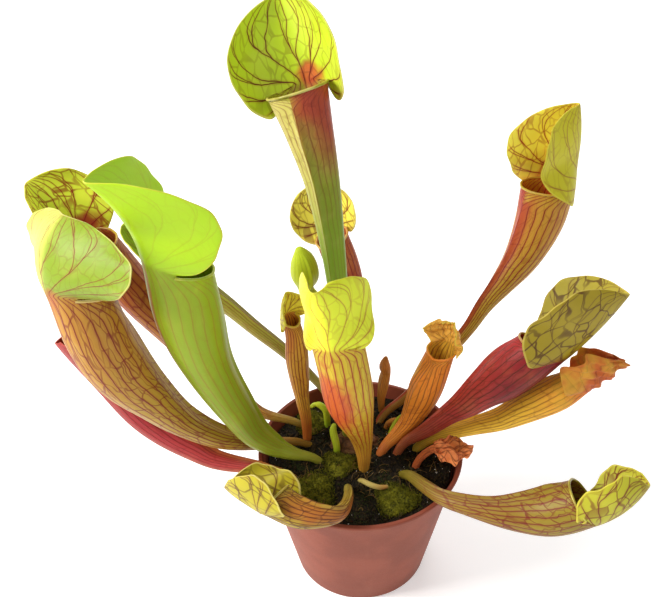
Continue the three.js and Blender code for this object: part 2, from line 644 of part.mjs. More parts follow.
// The whole plant in its pot.
function buildPlant() {
  const plant = new THREE.Group();
  const shoots = Object.entries(SHOOTS).map(([name, shoot]) => [name, { ...shoot, angles: SHOOT_ANGLES }]);
  const leaves = [...Object.entries(PITCHERS), ...shoots];
  const cutters = [...leaves.map(([, leaf]) => leaf), { ...WITHERED, angles: SHOOT_ANGLES }].map(stemCutter);
  const rhizome = withStemHoles(rhizomeSolid(), cutters);
  const bed = new THREE.SphereGeometry(1, 12, 8).rotateX(Math.PI / 2);
  bed.scale(...RHIZOME_SIZE.map((size) => size * 1.14 + GAP)).translate(...RHIZOME_CENTRE);
  const soil = withStemHoles(soilSolid(), [...cutters, toSolid(bed)]);
  plant.add(makeMesh("pot", potGeometry(), "terracotta", 0.6));
  plant.add(makeMesh("soil", toGeometry(soil), "peat", 0.95));
  plant.add(makeMesh("rhizome", toGeometry(rhizome), "rhizome", 0.8));
  for (const patch of MOSS) {
    plant.add(makeMesh(patch.name, toGeometry(withStemHoles(mossSolid(patch), cutters)), "moss", 0.9));
  }
  for (const [name, leaf] of leaves) plant.add(makeMesh(name, leafGeometry(leaf), leaf.colour));
  plant.add(makeMesh("leaf_withered", toGeometry(witheredSolid()), WITHERED.colour, 0.8));
  return plant;
}

export default buildPlant();
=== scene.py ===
"""A trumpet pitcher plant in a round nursery pot, dressed over its frame.

Every leaf follows the same rule as its solid: a tube swept along a spine, open at its mouth, whose back runs on
as a hood. Sizes in the tables are millimetres; meshes are in metres, in the frame of the solids.
"""

import logging
import math
from collections.abc import Callable, Iterator
from contextlib import contextmanager
from dataclasses import dataclass, replace
from enum import Enum

import bpy
import numpy as np
from mathutils import Matrix, Vector


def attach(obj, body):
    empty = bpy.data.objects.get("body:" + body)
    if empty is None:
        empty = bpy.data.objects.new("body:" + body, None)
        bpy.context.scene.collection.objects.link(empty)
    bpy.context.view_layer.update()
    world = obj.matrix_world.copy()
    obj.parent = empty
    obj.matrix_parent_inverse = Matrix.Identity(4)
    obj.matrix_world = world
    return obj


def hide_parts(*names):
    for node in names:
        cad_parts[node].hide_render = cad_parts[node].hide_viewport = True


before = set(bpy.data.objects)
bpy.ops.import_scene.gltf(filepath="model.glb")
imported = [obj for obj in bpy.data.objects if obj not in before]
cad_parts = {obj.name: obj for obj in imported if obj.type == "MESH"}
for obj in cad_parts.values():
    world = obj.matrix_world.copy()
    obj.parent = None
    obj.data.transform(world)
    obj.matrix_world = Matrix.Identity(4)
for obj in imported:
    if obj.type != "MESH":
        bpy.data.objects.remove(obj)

LOG = logging.getLogger("pitcher_plant")
MM = 0.001
TURN = 2 * math.pi
BODY = "root"
MERGE = 1e-5
PEAT_MERGE = 2e-5
SKIN_PER_MM = 0.1
FAR_FROM_EDGE = 9.0
Array = np.ndarray


# ---- Numbers shared with the solids ----

POT_RIM_RADIUS = 60.0
POT_FOOT_RADIUS = 40.0
POT_HEIGHT = 88.0
POT_WALL = 1.4
POT_FLOOR = 2.0
RIM_BEAD = 2.4
RIM_OVERHANG = 0.9
COLLAR_HEIGHT = 16.0
COLLAR_STEP = 0.9
DRAIN_HOLES = 6
DRAIN_RADIUS = 3.5
DRAIN_RING = 27.0
SOIL_LEVEL = 81.0
SOIL_MOUND = 2.2
SOIL_BUMP = 0.7
MOUTH_FROM = 0.8
NECK = math.radians(63.0)
LOBE_ANGLE = -62.0
TIP_ANGLE = 80.0
HOOD_ROWS = 7
GAP = 0.35
WALL_SLOPE = (POT_RIM_RADIUS - RIM_OVERHANG - COLLAR_STEP - POT_FOOT_RADIUS) / POT_HEIGHT


# ---- Colours and finishes ----

Colour = tuple[float, float, float]


def paint(red: int, green: int, blue: int) -> Colour:
    """Turns a screen colour into a linear one.

    Args:
        red, green, blue: screen values from 0 to 255.

    Returns:
        The linear colour.
    """
    return tuple((c / 255.0 / 12.92) if c <= 10 else ((c / 255.0 + 0.055) / 1.055) ** 2.4 for c in (red, green, blue))


@dataclass(frozen=True)
class Flush:
    """A red or yellow patch that fades at its edge: its place and half size in the leaf's own map."""

    colour: Colour
    amount: float
    at: float
    across: float = 0.0
    reach: float = 0.25
    wide: float = 1.3


@dataclass(frozen=True)
class LeafFinish:
    """How one skin of a leaf is coloured from its foot to the tip of its hood."""

    slot: str
    foot: Colour
    belly: Colour
    neck: Colour
    hood: Colour
    margin: Colour
    vein: Colour
    flush: Flush
    tube_lines: float = 0.6
    tube_net: float = 0.4
    hood_lines: float = 0.8
    hood_net: float = 0.4
    net_across: float = 1.7
    net_width: float = 0.045
    dryness: float = 0.0
    pale_side: float = 0.0
    red_seam: float = 0.0
    veined_from: float = 0.08
    second: Colour | None = None


class Look(Enum):
    """The finishes that the leaves are given."""

    TALL = "tall"
    LIME = "lime"
    NET = "net"
    RED_NET = "red_net"
    OLIVE = "olive"
    PINK = "pink"
    FRONT = "front"
    DRAPE = "drape"
    RIGHT = "right"
    CRIMSON = "crimson"
    DRY = "dry"
    LOW_RIGHT = "low_right"
    SMALL_ORANGE = "small_orange"
    SMALL_LIME = "small_lime"
    DARK = "dark"
    GREEN_BUD = "green_bud"
    ORANGE_BUD = "orange_bud"
    PALE_STUB = "pale_stub"
    WITHERED = "withered"


@dataclass(frozen=True)
class RoughFinish:
    """A plain rough finish that mottles between two colours; fine is the scale of its grain."""

    name: str
    dark: Colour
    light: Colour
    fine: float
    rough: float


@dataclass(frozen=True)
class PotFinish:
    """Matte terracotta plastic with dust, scuffs, moulding marks and patches that darken towards the bottom."""

    dark: Colour = paint(128, 62, 43)
    light: Colour = paint(144, 72, 51)
    scuff: Colour = paint(156, 92, 70)
    # Colour of the patches that darken the bottom of the pot.
    darker_base: Colour = paint(96, 58, 44)
    speck: Colour = paint(92, 50, 38)
    rough: float = 0.48
    specular: float = 0.25


@dataclass(frozen=True)
class PeatFinish:
    """Dark damp peat with fibres and a green bloom of algae."""

    dark: Colour = paint(17, 14, 10)
    light: Colour = paint(44, 35, 24)
    algae: Colour = paint(44, 52, 16)
    rough: float = 0.6
    specular: float = 0.12


MOSS_GREEN = RoughFinish("moss", paint(46, 50, 12), paint(132, 128, 30), 900.0, 0.7)
SPECK_GREEN = RoughFinish("moss_specks", paint(34, 42, 14), paint(84, 98, 28), 700.0, 0.7)
CROWN_BARK = RoughFinish("crown_bark", paint(60, 36, 22), paint(112, 74, 44), 500.0, 0.6)
PEAT_CRUMBS = RoughFinish("peat_crumbs", paint(18, 13, 8), paint(56, 44, 24), 800.0, 0.8)
PALE_GRIT = RoughFinish("grit", paint(150, 142, 128), paint(214, 208, 196), 900.0, 0.6)
TAN_FIBRES = RoughFinish("peat_fibres", paint(84, 62, 32), paint(132, 104, 56), 600.0, 0.7)

LIME = paint(146, 182, 40)
BRIGHT_LIME = paint(178, 208, 46)
YELLOW = paint(206, 196, 66)
CREAM = paint(222, 208, 124)
OLIVE = paint(134, 128, 50)
OLIVE_GREEN = paint(132, 142, 44)
WINE = paint(118, 30, 26)
DARK_VEIN = paint(104, 32, 22)
BROWN_VEIN = paint(96, 56, 26)
ORANGE_RED = paint(190, 70, 38)
RED = paint(176, 52, 40)
CRIMSON = paint(150, 46, 42)
PINK = paint(184, 88, 66)
ORANGE = paint(188, 116, 48)
RUST = paint(150, 80, 36)
SAND = paint(172, 128, 58)
SCORCHED = paint(96, 50, 28)

FOOT_TO_BELLY = (0.08, 0.4)
BELLY_TO_NECK = (0.5, 0.92)
NECK_TO_HOOD = (0.98, 1.1)
OVER_MOUTH = (0.97, 1.06)
LEAF_FLESH = {"Specular_IOR_Level": 0.22, "Subsurface_Weight": 0.15, "Subsurface_Radius": (0.004, 0.004, 0.001),
              "Subsurface_Scale": 0.5}

FINISHES = {
    Look.TALL: LeafFinish(
        "leaf_lime", OLIVE_GREEN, paint(124, 156, 26), paint(148, 142, 40), BRIGHT_LIME, CREAM, DARK_VEIN,
        Flush(paint(164, 58, 42), 0.95, 0.97, -1.75, 0.25, 1.5), 0.55, 0.35, 0.4, 0.3, pale_side=0.5,
        veined_from=0.5),
    Look.LIME: LeafFinish(
        "leaf_lime", paint(158, 160, 56), paint(134, 156, 32), paint(144, 168, 30), paint(174, 212, 30), YELLOW,
        paint(150, 96, 34), Flush(paint(178, 86, 38), 0.75, 0.9, 0.0, 0.26, 0.13), 0.36, 0.14, 0.14, 0.06),
    Look.NET: LeafFinish(
        "leaf_tan", paint(150, 116, 40), paint(170, 142, 42), paint(178, 128, 46), paint(190, 196, 84), CREAM, WINE,
        Flush(RED, 0.45, 1.04, 0.2, 0.09, 0.3), 0.95, 0.85, 0.85, 0.25, second=paint(128, 152, 34)),
    Look.RED_NET: LeafFinish(
        "leaf_red", OLIVE, paint(178, 126, 46), paint(166, 92, 42), paint(166, 176, 40), YELLOW, WINE,
        Flush(RED, 0.8, 0.98, 0.0, 0.3, 2.0), 0.95, 0.8, 0.9, 0.8),
    Look.OLIVE: LeafFinish(
        "leaf_olive", paint(128, 112, 42), paint(134, 132, 40), OLIVE_GREEN, LIME, YELLOW, WINE,
        Flush(WINE, 0.3, 1.0), 0.6, 0.3, 0.6, 0.3),
    Look.PINK: LeafFinish(
        "leaf_crimson", paint(160, 112, 48), paint(172, 90, 50), paint(156, 54, 50), CRIMSON, PINK, WINE,
        Flush(paint(168, 46, 56), 0.8, 0.6, 1.6, 0.5, 1.0), 0.8, 0.4, 0.7, 0.4),
    Look.FRONT: LeafFinish(
        "leaf_lime", paint(206, 148, 52), paint(182, 146, 36), paint(198, 174, 38), paint(248, 240, 52), YELLOW,
        paint(150, 40, 24), Flush(paint(196, 72, 36), 0.85, 0.74, -0.5, 0.24, 1.1), 1.0, 0.5, 0.6, 0.25,
        second=paint(216, 226, 44), red_seam=0.4),
    Look.DRAPE: LeafFinish(
        "leaf_tan", OLIVE, paint(150, 128, 38), paint(166, 146, 40), paint(178, 166, 40), CREAM, paint(84, 44, 24),
        Flush(RED, 0.5, 0.6, 2.0, 0.5, 1.0), 0.85, 0.9, 0.8, 0.85),
    Look.RIGHT: LeafFinish(
        "leaf_tan", paint(164, 128, 54), paint(184, 162, 46), paint(192, 140, 48), paint(202, 194, 40), YELLOW,
        paint(130, 34, 26), Flush(RED, 0.7, 0.99, 1.6, 0.1, 2.0), 1.0, 0.4, 0.6, 0.3, red_seam=0.8),
    Look.CRIMSON: LeafFinish(
        "leaf_crimson", paint(160, 80, 48), paint(180, 60, 50), paint(172, 50, 48), paint(158, 138, 26),
        paint(196, 176, 84), paint(78, 38, 16), Flush(paint(112, 24, 38), 0.7, 0.85, 0.0, 0.3, 2.0),
        0.7, 0.45, 0.6, 1.0, 1.05, 0.062),
    # Painted light: the foot, belly and neck colours are lightened to make up for the shadow that the crimson pitcher
    # casts on this leaf.
    Look.DRY: LeafFinish(
        "leaf_orange", paint(226, 194, 62), paint(255, 208, 64), paint(250, 172, 60), paint(196, 100, 44), ORANGE,
        paint(140, 60, 28), Flush(ORANGE_RED, 0.5, 1.0, 0.0, 0.2, 2.0), 0.6, 0.35, 0.6, 0.4, dryness=0.6),
    Look.LOW_RIGHT: LeafFinish(
        "leaf_tan", paint(116, 110, 32), paint(142, 116, 38), paint(140, 120, 36), paint(180, 176, 44), YELLOW,
        paint(112, 30, 26), Flush(paint(150, 34, 54), 0.8, 0.86, 1.2, 0.16, 1.1), 0.9, 0.95, 0.9, 0.85),
    Look.SMALL_ORANGE: LeafFinish(
        "leaf_orange", paint(180, 94, 38), paint(228, 134, 38), paint(240, 140, 42), paint(255, 190, 76), YELLOW,
        paint(136, 54, 26), Flush(paint(224, 184, 66), 0.8, 0.84, 1.4, 0.14, 0.9), 0.75, 0.4, 0.45, 0.4, 2.4,
        dryness=0.3),
    Look.SMALL_LIME: LeafFinish(
        "leaf_orange", paint(190, 108, 44), paint(226, 166, 56), paint(228, 170, 56), paint(250, 236, 70), YELLOW,
        paint(136, 40, 26), Flush(RED, 0.45, 0.9, 1.2, 0.3, 1.2), 0.9, 0.4, 0.5, 0.3, 2.2),
    Look.DARK: LeafFinish(
        "leaf_red", paint(134, 56, 36), paint(156, 66, 40), paint(178, 90, 44), YELLOW, CREAM, WINE,
        Flush(RED, 0.7, 0.96), 0.8, 0.6, 0.9, 1.0),
    # Painted light: the belly and neck colours are lightened to make up for the shade that the green bud stands in.
    Look.GREEN_BUD: LeafFinish(
        "leaf_lime", LIME, paint(192, 206, 44), paint(188, 204, 42), LIME, YELLOW, OLIVE_GREEN, Flush(LIME, 0.0, 1.0),
        0.3, 0.15, 0.2, 0.1),
    Look.ORANGE_BUD: LeafFinish(
        "leaf_orange", paint(196, 132, 54), paint(212, 148, 60), paint(204, 132, 56), RUST, RUST, WINE,
        Flush(ORANGE_RED, 0.35, 0.3), 0.5, 0.2, 0.2, 0.1, dryness=0.3),
    Look.PALE_STUB: LeafFinish(
        "leaf_pale", paint(176, 154, 84), paint(186, 168, 92), SAND, CREAM, CREAM, BROWN_VEIN, Flush(RUST, 0.6, 1.0),
        0.3, 0.2, 0.2, 0.1),
    Look.WITHERED: LeafFinish(
        "leaf_withered", paint(206, 98, 54), paint(228, 118, 64), paint(240, 128, 70), paint(255, 150, 86),
        paint(250, 186, 116), paint(110, 54, 28), Flush(ORANGE, 0.5, 1.6, 0.3, 0.3, 0.8), 0.6, 0.5, 0.7, 0.7,
        dryness=0.6),
}

# Inside skins: partly their own colour (veins, flush and net), partly painted light: most hood colours here are
# lightened to make up for the shade that falls inside the hoods.
INSIDES = {
    Look.TALL: replace(
        FINISHES[Look.TALL], hood=paint(192, 214, 46), flush=Flush(paint(200, 62, 48), 0.85, 1.1, -0.2, 0.16, 0.4),
        hood_lines=1.0, hood_net=0.4, pale_side=0.0),
    Look.RED_NET: replace(
        FINISHES[Look.RED_NET], hood=paint(226, 238, 74), vein=paint(150, 34, 28),
        flush=Flush(RED, 0.95, 1.06, 0.0, 0.3, 1.1), hood_lines=1.0, hood_net=0.9),
    Look.RIGHT: replace(
        FINISHES[Look.RIGHT], hood=paint(250, 238, 92), vein=paint(160, 32, 26),
        flush=Flush(paint(206, 58, 44), 0.95, 1.06, 0.0, 0.3, 1.2), hood_lines=1.0, hood_net=0.6),
    Look.CRIMSON: replace(
        FINISHES[Look.CRIMSON], hood=paint(166, 152, 50), flush=Flush(CRIMSON, 0.9, 1.0, 0.0, 0.2, 1.4)),
    Look.LOW_RIGHT: replace(
        FINISHES[Look.LOW_RIGHT], hood=paint(190, 188, 62), flush=Flush(RED, 0.5, 1.05, 0.0, 0.2, 0.8),
        hood_net=1.0, net_across=2.0),
    Look.DARK: replace(
        FINISHES[Look.DARK], hood=paint(244, 230, 90), flush=Flush(RED, 0.9, 1.06, 0.0, 0.2, 0.8), hood_net=0.7,
        net_across=2.2),
    Look.SMALL_ORANGE: replace(
        FINISHES[Look.SMALL_ORANGE], hood=paint(255, 196, 84), neck=paint(250, 196, 66), belly=paint(240, 170, 56),
        flush=Flush(YELLOW, 0.7, 0.95, 2.4, 0.16, 1.2)),
    Look.SMALL_LIME: replace(
        FINISHES[Look.SMALL_LIME], hood=paint(250, 234, 70), neck=paint(226, 160, 54), hood_lines=0.7),
}


# ---- Leaves ----


@dataclass(frozen=True)
class Hood:
    """The hood above a mouth: lengths in millimetres, angles in degrees."""

    length: float
    width: float
    lean: float
    away: float
    fold: float
    turn: float
    curl: float
    lobe: float
    wave: float


@dataclass(frozen=True)
class Leaf:
    """A leaf's spine of [x, y, z, radius] points, which way its mouth looks, and its hood, if it has opened."""

    name: str
    look: Look
    spine: tuple[tuple[float, float, float, float], ...]
    face: float
    lift: float = 0.3
    mouth: float = 0.0
    wing: float = 0.0
    hood: Hood | None = None
    pinch: float = 0.0


PITCHERS = (
    Leaf("pitcher_tall_back", Look.TALL,
         ((-8, 14, 76, 2.6), (-8, 14, 113, 3.2), (-10, 16, 157, 4.5), (-12, 20, 196, 5.7),
          (-15, 25, 225, 7.2), (-19, 30, 253, 9.4), (-25, 37, 278, 12.6), (-30, 44, 295, 15.8)),
         252, 0.45, 2, 6, Hood(47, 43, 11, 7, 13, 69, 8, 16, 1.2)),
    Leaf("pitcher_green_left", Look.LIME,
         ((-20, -3, 76, 2.2), (-28, -6, 87, 2.6), (-39, -9, 93, 3.5), (-49, -9, 98, 5.2), (-60, -10, 110, 7.4),
          (-69, -12, 131, 9.7), (-81, -13, 163, 12.8), (-87, -14, 196, 17.4), (-89, -14, 224, 17)),
         36, 0, 14, 4, Hood(54, 48, 2, 19, 44, 14, 3, 6, 1.5)),
    Leaf("pitcher_veined_left", Look.NET,
         ((-25, 12, 76, 2), (-38, 6, 88, 2.4), (-59, -2, 94.5, 3.8), (-79, -7, 103, 5.8), (-99, -16, 126, 8.2),
          (-112, -22, 149, 11.6), (-123, -26, 171, 15.4), (-131, -27, 193, 16.6), (-136, -25, 215, 15.4)),
         48, 0.5, 14, 3.5, Hood(41, 58, 38, -12, 17, 12, 22, 4, 1.2)),
    Leaf("pitcher_red_left_back", Look.RED_NET,
         ((-25, 22, 76, 2), (-38, 21, 89, 2.2), (-60, 24, 95, 3.3), (-75, 30, 106, 5.1),
          (-95, 34, 130, 7.7), (-113, 36, 156, 10.4), (-128, 38, 178, 12), (-143, 40, 204, 11.6)),
         330, 0.4, 10, 3, Hood(41, 31, 0, 4, 14, 60, 16, 10, 1)),
    Leaf("pitcher_olive_left_back", Look.OLIVE,
         ((-14, 38, 76, 2.2), (-20, 46, 88, 2.4), (-30, 57, 94, 2.8), (-49, 72, 104, 4.1),
          (-67, 84, 112, 4.8), (-85, 95, 122, 5.6), (-106, 104, 134, 7.8), (-121, 109, 148, 9.4)),
         320, 0.8, 9, 2, Hood(29, 24, 5, 0, 16, 62, 12, 9, 1)),
    Leaf("pitcher_pink_left_low", Look.PINK,
         ((-36, -14, 76, 2), (-44, -18, 87, 2.2), (-54, -20, 93, 2.6), (-66, -17, 91, 3.6), (-84, -12, 91, 5.2),
          (-98, -8, 98, 7.2), (-112, -5, 107, 8.4), (-125, -2, 119, 9.2), (-140, 2, 141, 9.4)),
         20, 0.8, 9, 2.5, Hood(27, 23, 0, 0, 14, 62, 10, 8, 1)),
    Leaf("pitcher_front_centre", Look.FRONT,
         ((2, -9, 76, 2.6), (2, -12, 96, 4.3), (1, -14, 110, 6.1), (-1, -19, 125, 8.3),
          (-4, -27, 145, 11.4), (-6, -33, 162, 13.2), (-8, -37, 182, 13), (-10, -38, 196, 13)),
         80, 0.2, 10, 4, Hood(42, 36, 4, 6, 36, 60, 16, 10, 1.8)),
    Leaf("pitcher_front_left_drape", Look.DRAPE,
         ((-8, -24, 76, 2), (-7, -31, 89, 2.3), (-7, -48, 97, 3), (-12, -60, 100, 4.5),
          (-23, -62, 101, 6.7), (-33, -60, 101, 8.6), (-43, -55, 103, 10)),
         20, 1.2, 8, 2.5, Hood(25, 29, 12, 0, 34, 60, 14, 19, 1.6)),
    Leaf("pitcher_right_back", Look.RIGHT,
         ((9, 27, 76, 2.4), (15, 32, 86, 2.5), (27, 40, 91, 2.8), (50, 56, 107, 3.1), (68, 69, 123, 3.9),
          (77, 75, 136, 5.2), (87, 82, 146, 7.2), (100, 92, 160, 11), (110, 101, 181, 14.8), (113.5, 106, 199.5, 16)),
         204, 0.3, 5, 3, Hood(50, 44, 15, -2, 46, 67, 46, 12, 1.4)),
    Leaf("pitcher_crimson_right", Look.CRIMSON,
         ((19, 1, 76, 2.2), (26, 3, 90, 2.9), (38, 4, 98, 4.1), (52, 6, 109, 5.2), (62, 7, 117, 7.8),
          (71, 9, 125, 10.2), (80, 10, 133, 13), (90, 11, 143, 14), (98, 12, 151, 13.4)),
         144, 0.75, 8, 3, Hood(53, 47, 21, 3, 33, 32, 11, 15, 1.4)),
    Leaf("pitcher_orange_right", Look.DRY,
         ((30, 7, 76, 2.4), (41, 6, 90, 3.3), (64, 6, 99, 4.7), (82, 6, 105.5, 6.4),
          (98, 5.5, 117, 9), (112, 6, 126, 10), (120, 7, 132.5, 8.8)),
         124, 1.1, 4, 2, Hood(27, 31, 28, 5, 14, 76, 16, 11, 2.4)),
    Leaf("pitcher_right_front", Look.LOW_RIGHT,
         ((22, -10, 76, 2.2), (28, -22, 89, 3), (35, -34, 94, 3.8), (46, -47, 97, 4.3), (58, -53, 98, 5.1),
          (72, -57, 98, 7.2), (85, -58, 98, 10.1), (98, -59, 100, 12.8), (107, -60, 104, 13.6), (115, -61, 109, 13.2)),
         122, 1, 4, 2.5, Hood(36, 28, 20, -6, 13, 80, 8, 9, 1.6)),
    Leaf("pitcher_orange_centre_right", Look.SMALL_ORANGE,
         ((9, -1, 76, 2.2), (14, 3, 86, 3), (22, 9, 91, 4.2), (29, 14, 97, 5.9),
          (34, 18, 105, 8.2), (38, 20, 116, 9.8), (41, 22, 127, 10.4), (44, 24, 137, 9.6)),
         225, 0.5, 8, 2.5, Hood(17, 18, 40, 0, 8, 66, 26, 4, 2), pinch=0.75),
    Leaf("pitcher_dark_back", Look.DARK,
         ((-3, 30, 76, 2), (-4, 31, 107, 2.8), (-6, 36, 134, 4.7), (-6, 43, 158, 7),
          (-6, 48, 172, 8.6), (-10, 53, 185, 9.6), (-14, 57, 195, 9.4)),
         262, 0.4, 8, 2, Hood(28, 23, 8, 0, 8, 60, 24, 8, 1.4)),
    Leaf("pitcher_small_left_centre", Look.SMALL_LIME,
         ((-32, 14, 76, 2.4), (-32, 16, 95, 3.2), (-34, 18, 112, 4.1), (-35, 20, 124, 5.6),
          (-36, 21, 141, 6.7), (-36, 21, 155, 5.9), (-37, 21, 165, 5.4)),
         315, 0.4, 5, 1.6, Hood(18, 18, 26, 0, 18, 70, 30, 6, 1.6), pinch=0.5),
)

SHOOTS = (
    Leaf("bud_green", Look.GREEN_BUD,
         ((-14, 32, 76, 2), (-13, 33, 102, 2.5), (-15, 36, 119, 3.6), (-20, 42, 141, 5.4), (-27, 48, 159, 6.6),
          (-31, 51, 168, 4.4), (-31, 50, 178, 8.2), (-32, 49, 190, 6.6), (-34, 49, 198, 1.6)), 300, wing=2),
    Leaf("bud_orange", Look.ORANGE_BUD,
         ((14, 37, 76, 1.7), (13, 39, 90, 2.2), (14, 41, 98, 3.2), (15, 43, 105, 3.5), (16, 44, 110, 2.9),
          (15, 43, 115, 3.6), (16, 44, 122, 0.8)), 240, wing=1),
    Leaf("shoot_hooked_back", Look.GREEN_BUD,
         ((-20, 25, 76, 1.6), (-20, 25, 88, 2), (-21, 26, 95, 2), (-26, 28, 98, 1.8), (-30, 29, 94, 1)), 0),
    Leaf("shoot_hooked_front", Look.GREEN_BUD,
         ((-14, 2, 76, 1.7), (-14, 4, 87, 2.1), (-16, 9, 94, 2.1), (-15, 11, 98, 1)), 0),
    Leaf("blade_green", Look.GREEN_BUD,
         ((17, 13, 76, 1.4), (19, 16, 86, 1.9), (22, 19, 92, 1.4), (25, 20, 96, 0.8)), 90),
    Leaf("stub_orange", Look.ORANGE_BUD,
         ((15, 24, 76, 1.5), (17, 24, 85, 1.7), (21, 24, 88, 1.6), (24, 23.6, 88.5, 1)), 90),
    Leaf("stub_curled", Look.PALE_STUB,
         ((-1, -19, 77, 1.3), (0, -21, 84, 1.4), (5, -26, 86, 1.5), (11, -28, 85.6, 1.4), (16, -27, 85.4, 0.9)), 90),
)

WITHERED = Leaf("leaf_withered", Look.WITHERED,
                ((31, -8, 76, 1.8), (34, -9, 88, 1.8), (40, -11, 98, 1.8), (44, -12, 101, 2.2)), 90)


@dataclass(frozen=True)
class Cushion:
    """A moss cushion: its centre, radius and height in millimetres."""

    name: str
    x: float
    y: float
    radius: float
    height: float

    def spread(self, part: Array, angle: Array) -> tuple[Array, Array]:
        """Places at a share of the way from the centre to the wavy edge."""
        edge = 1 + 0.14 * np.sin(angle * 3 + self.x)
        return self.x + part * np.cos(angle) * self.radius * edge, self.y + part * np.sin(angle) * self.radius * edge


MOSS = (
    Cushion("moss_left_back", -30.0, 28.0, 9.0, 3.6),
    Cushion("moss_left_front", -27.0, -27.0, 12.0, 2.2),
    Cushion("moss_centre", -12.0, -8.0, 9.0, 4.0),
    Cushion("moss_right_front", 20.0, -34.0, 11.0, 2.0),
)


@dataclass(frozen=True)
class Litter:
    """Small lumps on the peat: their smallest and largest radius in millimetres, and their height over width."""

    name: str
    count: int
    size: tuple[float, float]
    flat: float
    finish: RoughFinish


LITTER = (
    Litter("peat_crumbs", 2600, (0.35, 1.5), 0.6, PEAT_CRUMBS),
    Litter("grit_specks", 110, (0.3, 0.75), 0.7, PALE_GRIT),
)


# ---- Curves and small mathematics ----


def ease(x: Array | float) -> Array:
    """Smooth step from 0 at zero to 1 at one."""
    x = np.clip(x, 0.0, 1.0)
    return x * x * (3.0 - 2.0 * x)


def soil_height(x: Array, y: Array) -> Array:
    """Height of the peat's surface in millimetres at a place in millimetres."""
    mound = SOIL_MOUND * np.exp(-(x * x + y * y) / 900.0)
    return SOIL_LEVEL + mound + SOIL_BUMP * (np.sin(x * 0.31 + 1) * np.cos(y * 0.27) + np.sin((x + y) * 0.17))


def wall_radius(z: Array | float) -> Array | float:
    """Outer radius of the pot's wall below its collar, at a height in millimetres."""
    return POT_FOOT_RADIUS + WALL_SLOPE * z


def peat_radius(z: Array | float) -> Array | float:
    """Radius of the peat's edge at a height in millimetres."""
    return wall_radius(z) - POT_WALL - GAP


def peat_spots(rng: np.random.Generator, count: int, margin: float) -> tuple[Array, Array]:
    """Random places on the peat, evenly spread.

    Args:
        rng: the seeded generator.
        count: how many.
        margin: how far they stay from the peat's edge, in millimetres.

    Returns:
        Their x and y in millimetres.
    """
    radius = (peat_radius(SOIL_LEVEL) - margin) * np.sqrt(rng.random(count))
    angle = rng.random(count) * TURN
    return radius * np.cos(angle), radius * np.sin(angle)


class Curve:
    """A Catmull-Rom curve through the given points, centripetal or uniform."""

    def __init__(self, points: Array, is_centripetal: bool = True) -> None:
        """Keeps the points, with one more beyond each end.

        Args:
            points: one row for each point.
            is_centripetal: whether the knots follow the distance between points.
        """
        inner = np.asarray(points, float)
        self.points = np.vstack([2 * inner[0] - inner[1], inner, 2 * inner[-1] - inner[-2]])
        self.spans = len(inner) - 1
        self.is_centripetal = is_centripetal

    def at(self, t: Array) -> Array:
        """Places on the curve.

        Args:
            t: parameters from 0 to 1.

        Returns:
            One row for each parameter.
        """
        place = np.clip(t, 0, 1) * self.spans
        index = np.minimum(np.floor(place).astype(int), self.spans - 1)
        w = (place - index)[:, None]
        p = [self.points[index + k] for k in range(4)]
        if self.is_centripetal:
            d = [np.maximum(np.sum((p[k + 1] - p[k]) ** 2, axis=1) ** 0.25, 1e-4)[:, None] for k in range(3)]
            start = (p[1] - p[0]) / d[0] - (p[2] - p[0]) / (d[0] + d[1]) + (p[2] - p[1]) / d[1]
            end = (p[2] - p[1]) / d[1] - (p[3] - p[1]) / (d[1] + d[2]) + (p[3] - p[2]) / d[2]
            start, end = start * d[1], end * d[1]
        else:
            start, end = 0.5 * (p[2] - p[0]), 0.5 * (p[3] - p[1])
        c2 = -3 * p[1] + 3 * p[2] - 2 * start - end
        c3 = 2 * p[1] - 2 * p[2] + start + end
        return p[1] + start * w + c2 * w**2 + c3 * w**3


@dataclass
class SpineFrame:
    """Places along a spine with the frame there: one row each."""

    place: Array
    radius: Array
    along: Array
    front: Array
    side: Array


def spine_frame(leaf: Leaf, t: Array) -> SpineFrame:
    """The spine's places, radii and directions.

    Args:
        leaf: the leaf whose spine is followed.
        t: parameters from 0 to 1.

    Returns:
        The frame at each parameter.
    """
    spine = np.array(leaf.spine, float)
    path = Curve(spine[:, :3])
    radius = Curve(spine[:, 3:], is_centripetal=False).at(t)[:, 0]
    step = 1e-4
    along = path.at(np.minimum(t + step, 1)) - path.at(np.maximum(t - step, 0))
    along /= np.linalg.norm(along, axis=1, keepdims=True)
    heading = math.radians(leaf.face)
    front = np.tile([math.cos(heading), math.sin(heading), leaf.lift], (len(t), 1))
    front -= along * np.sum(front * along, axis=1, keepdims=True)
    front /= np.linalg.norm(front, axis=1, keepdims=True)
    return SpineFrame(path.at(t), radius, along, front, np.cross(front, along))


def spine_length(leaf: Leaf) -> float:
    """Length of a leaf's spine in millimetres."""
    places = Curve(np.array(leaf.spine, float)[:, :3]).at(np.linspace(0, 1, 200))
    return float(np.sum(np.linalg.norm(np.diff(places, axis=0), axis=1)))


# ---- Mesh tools ----


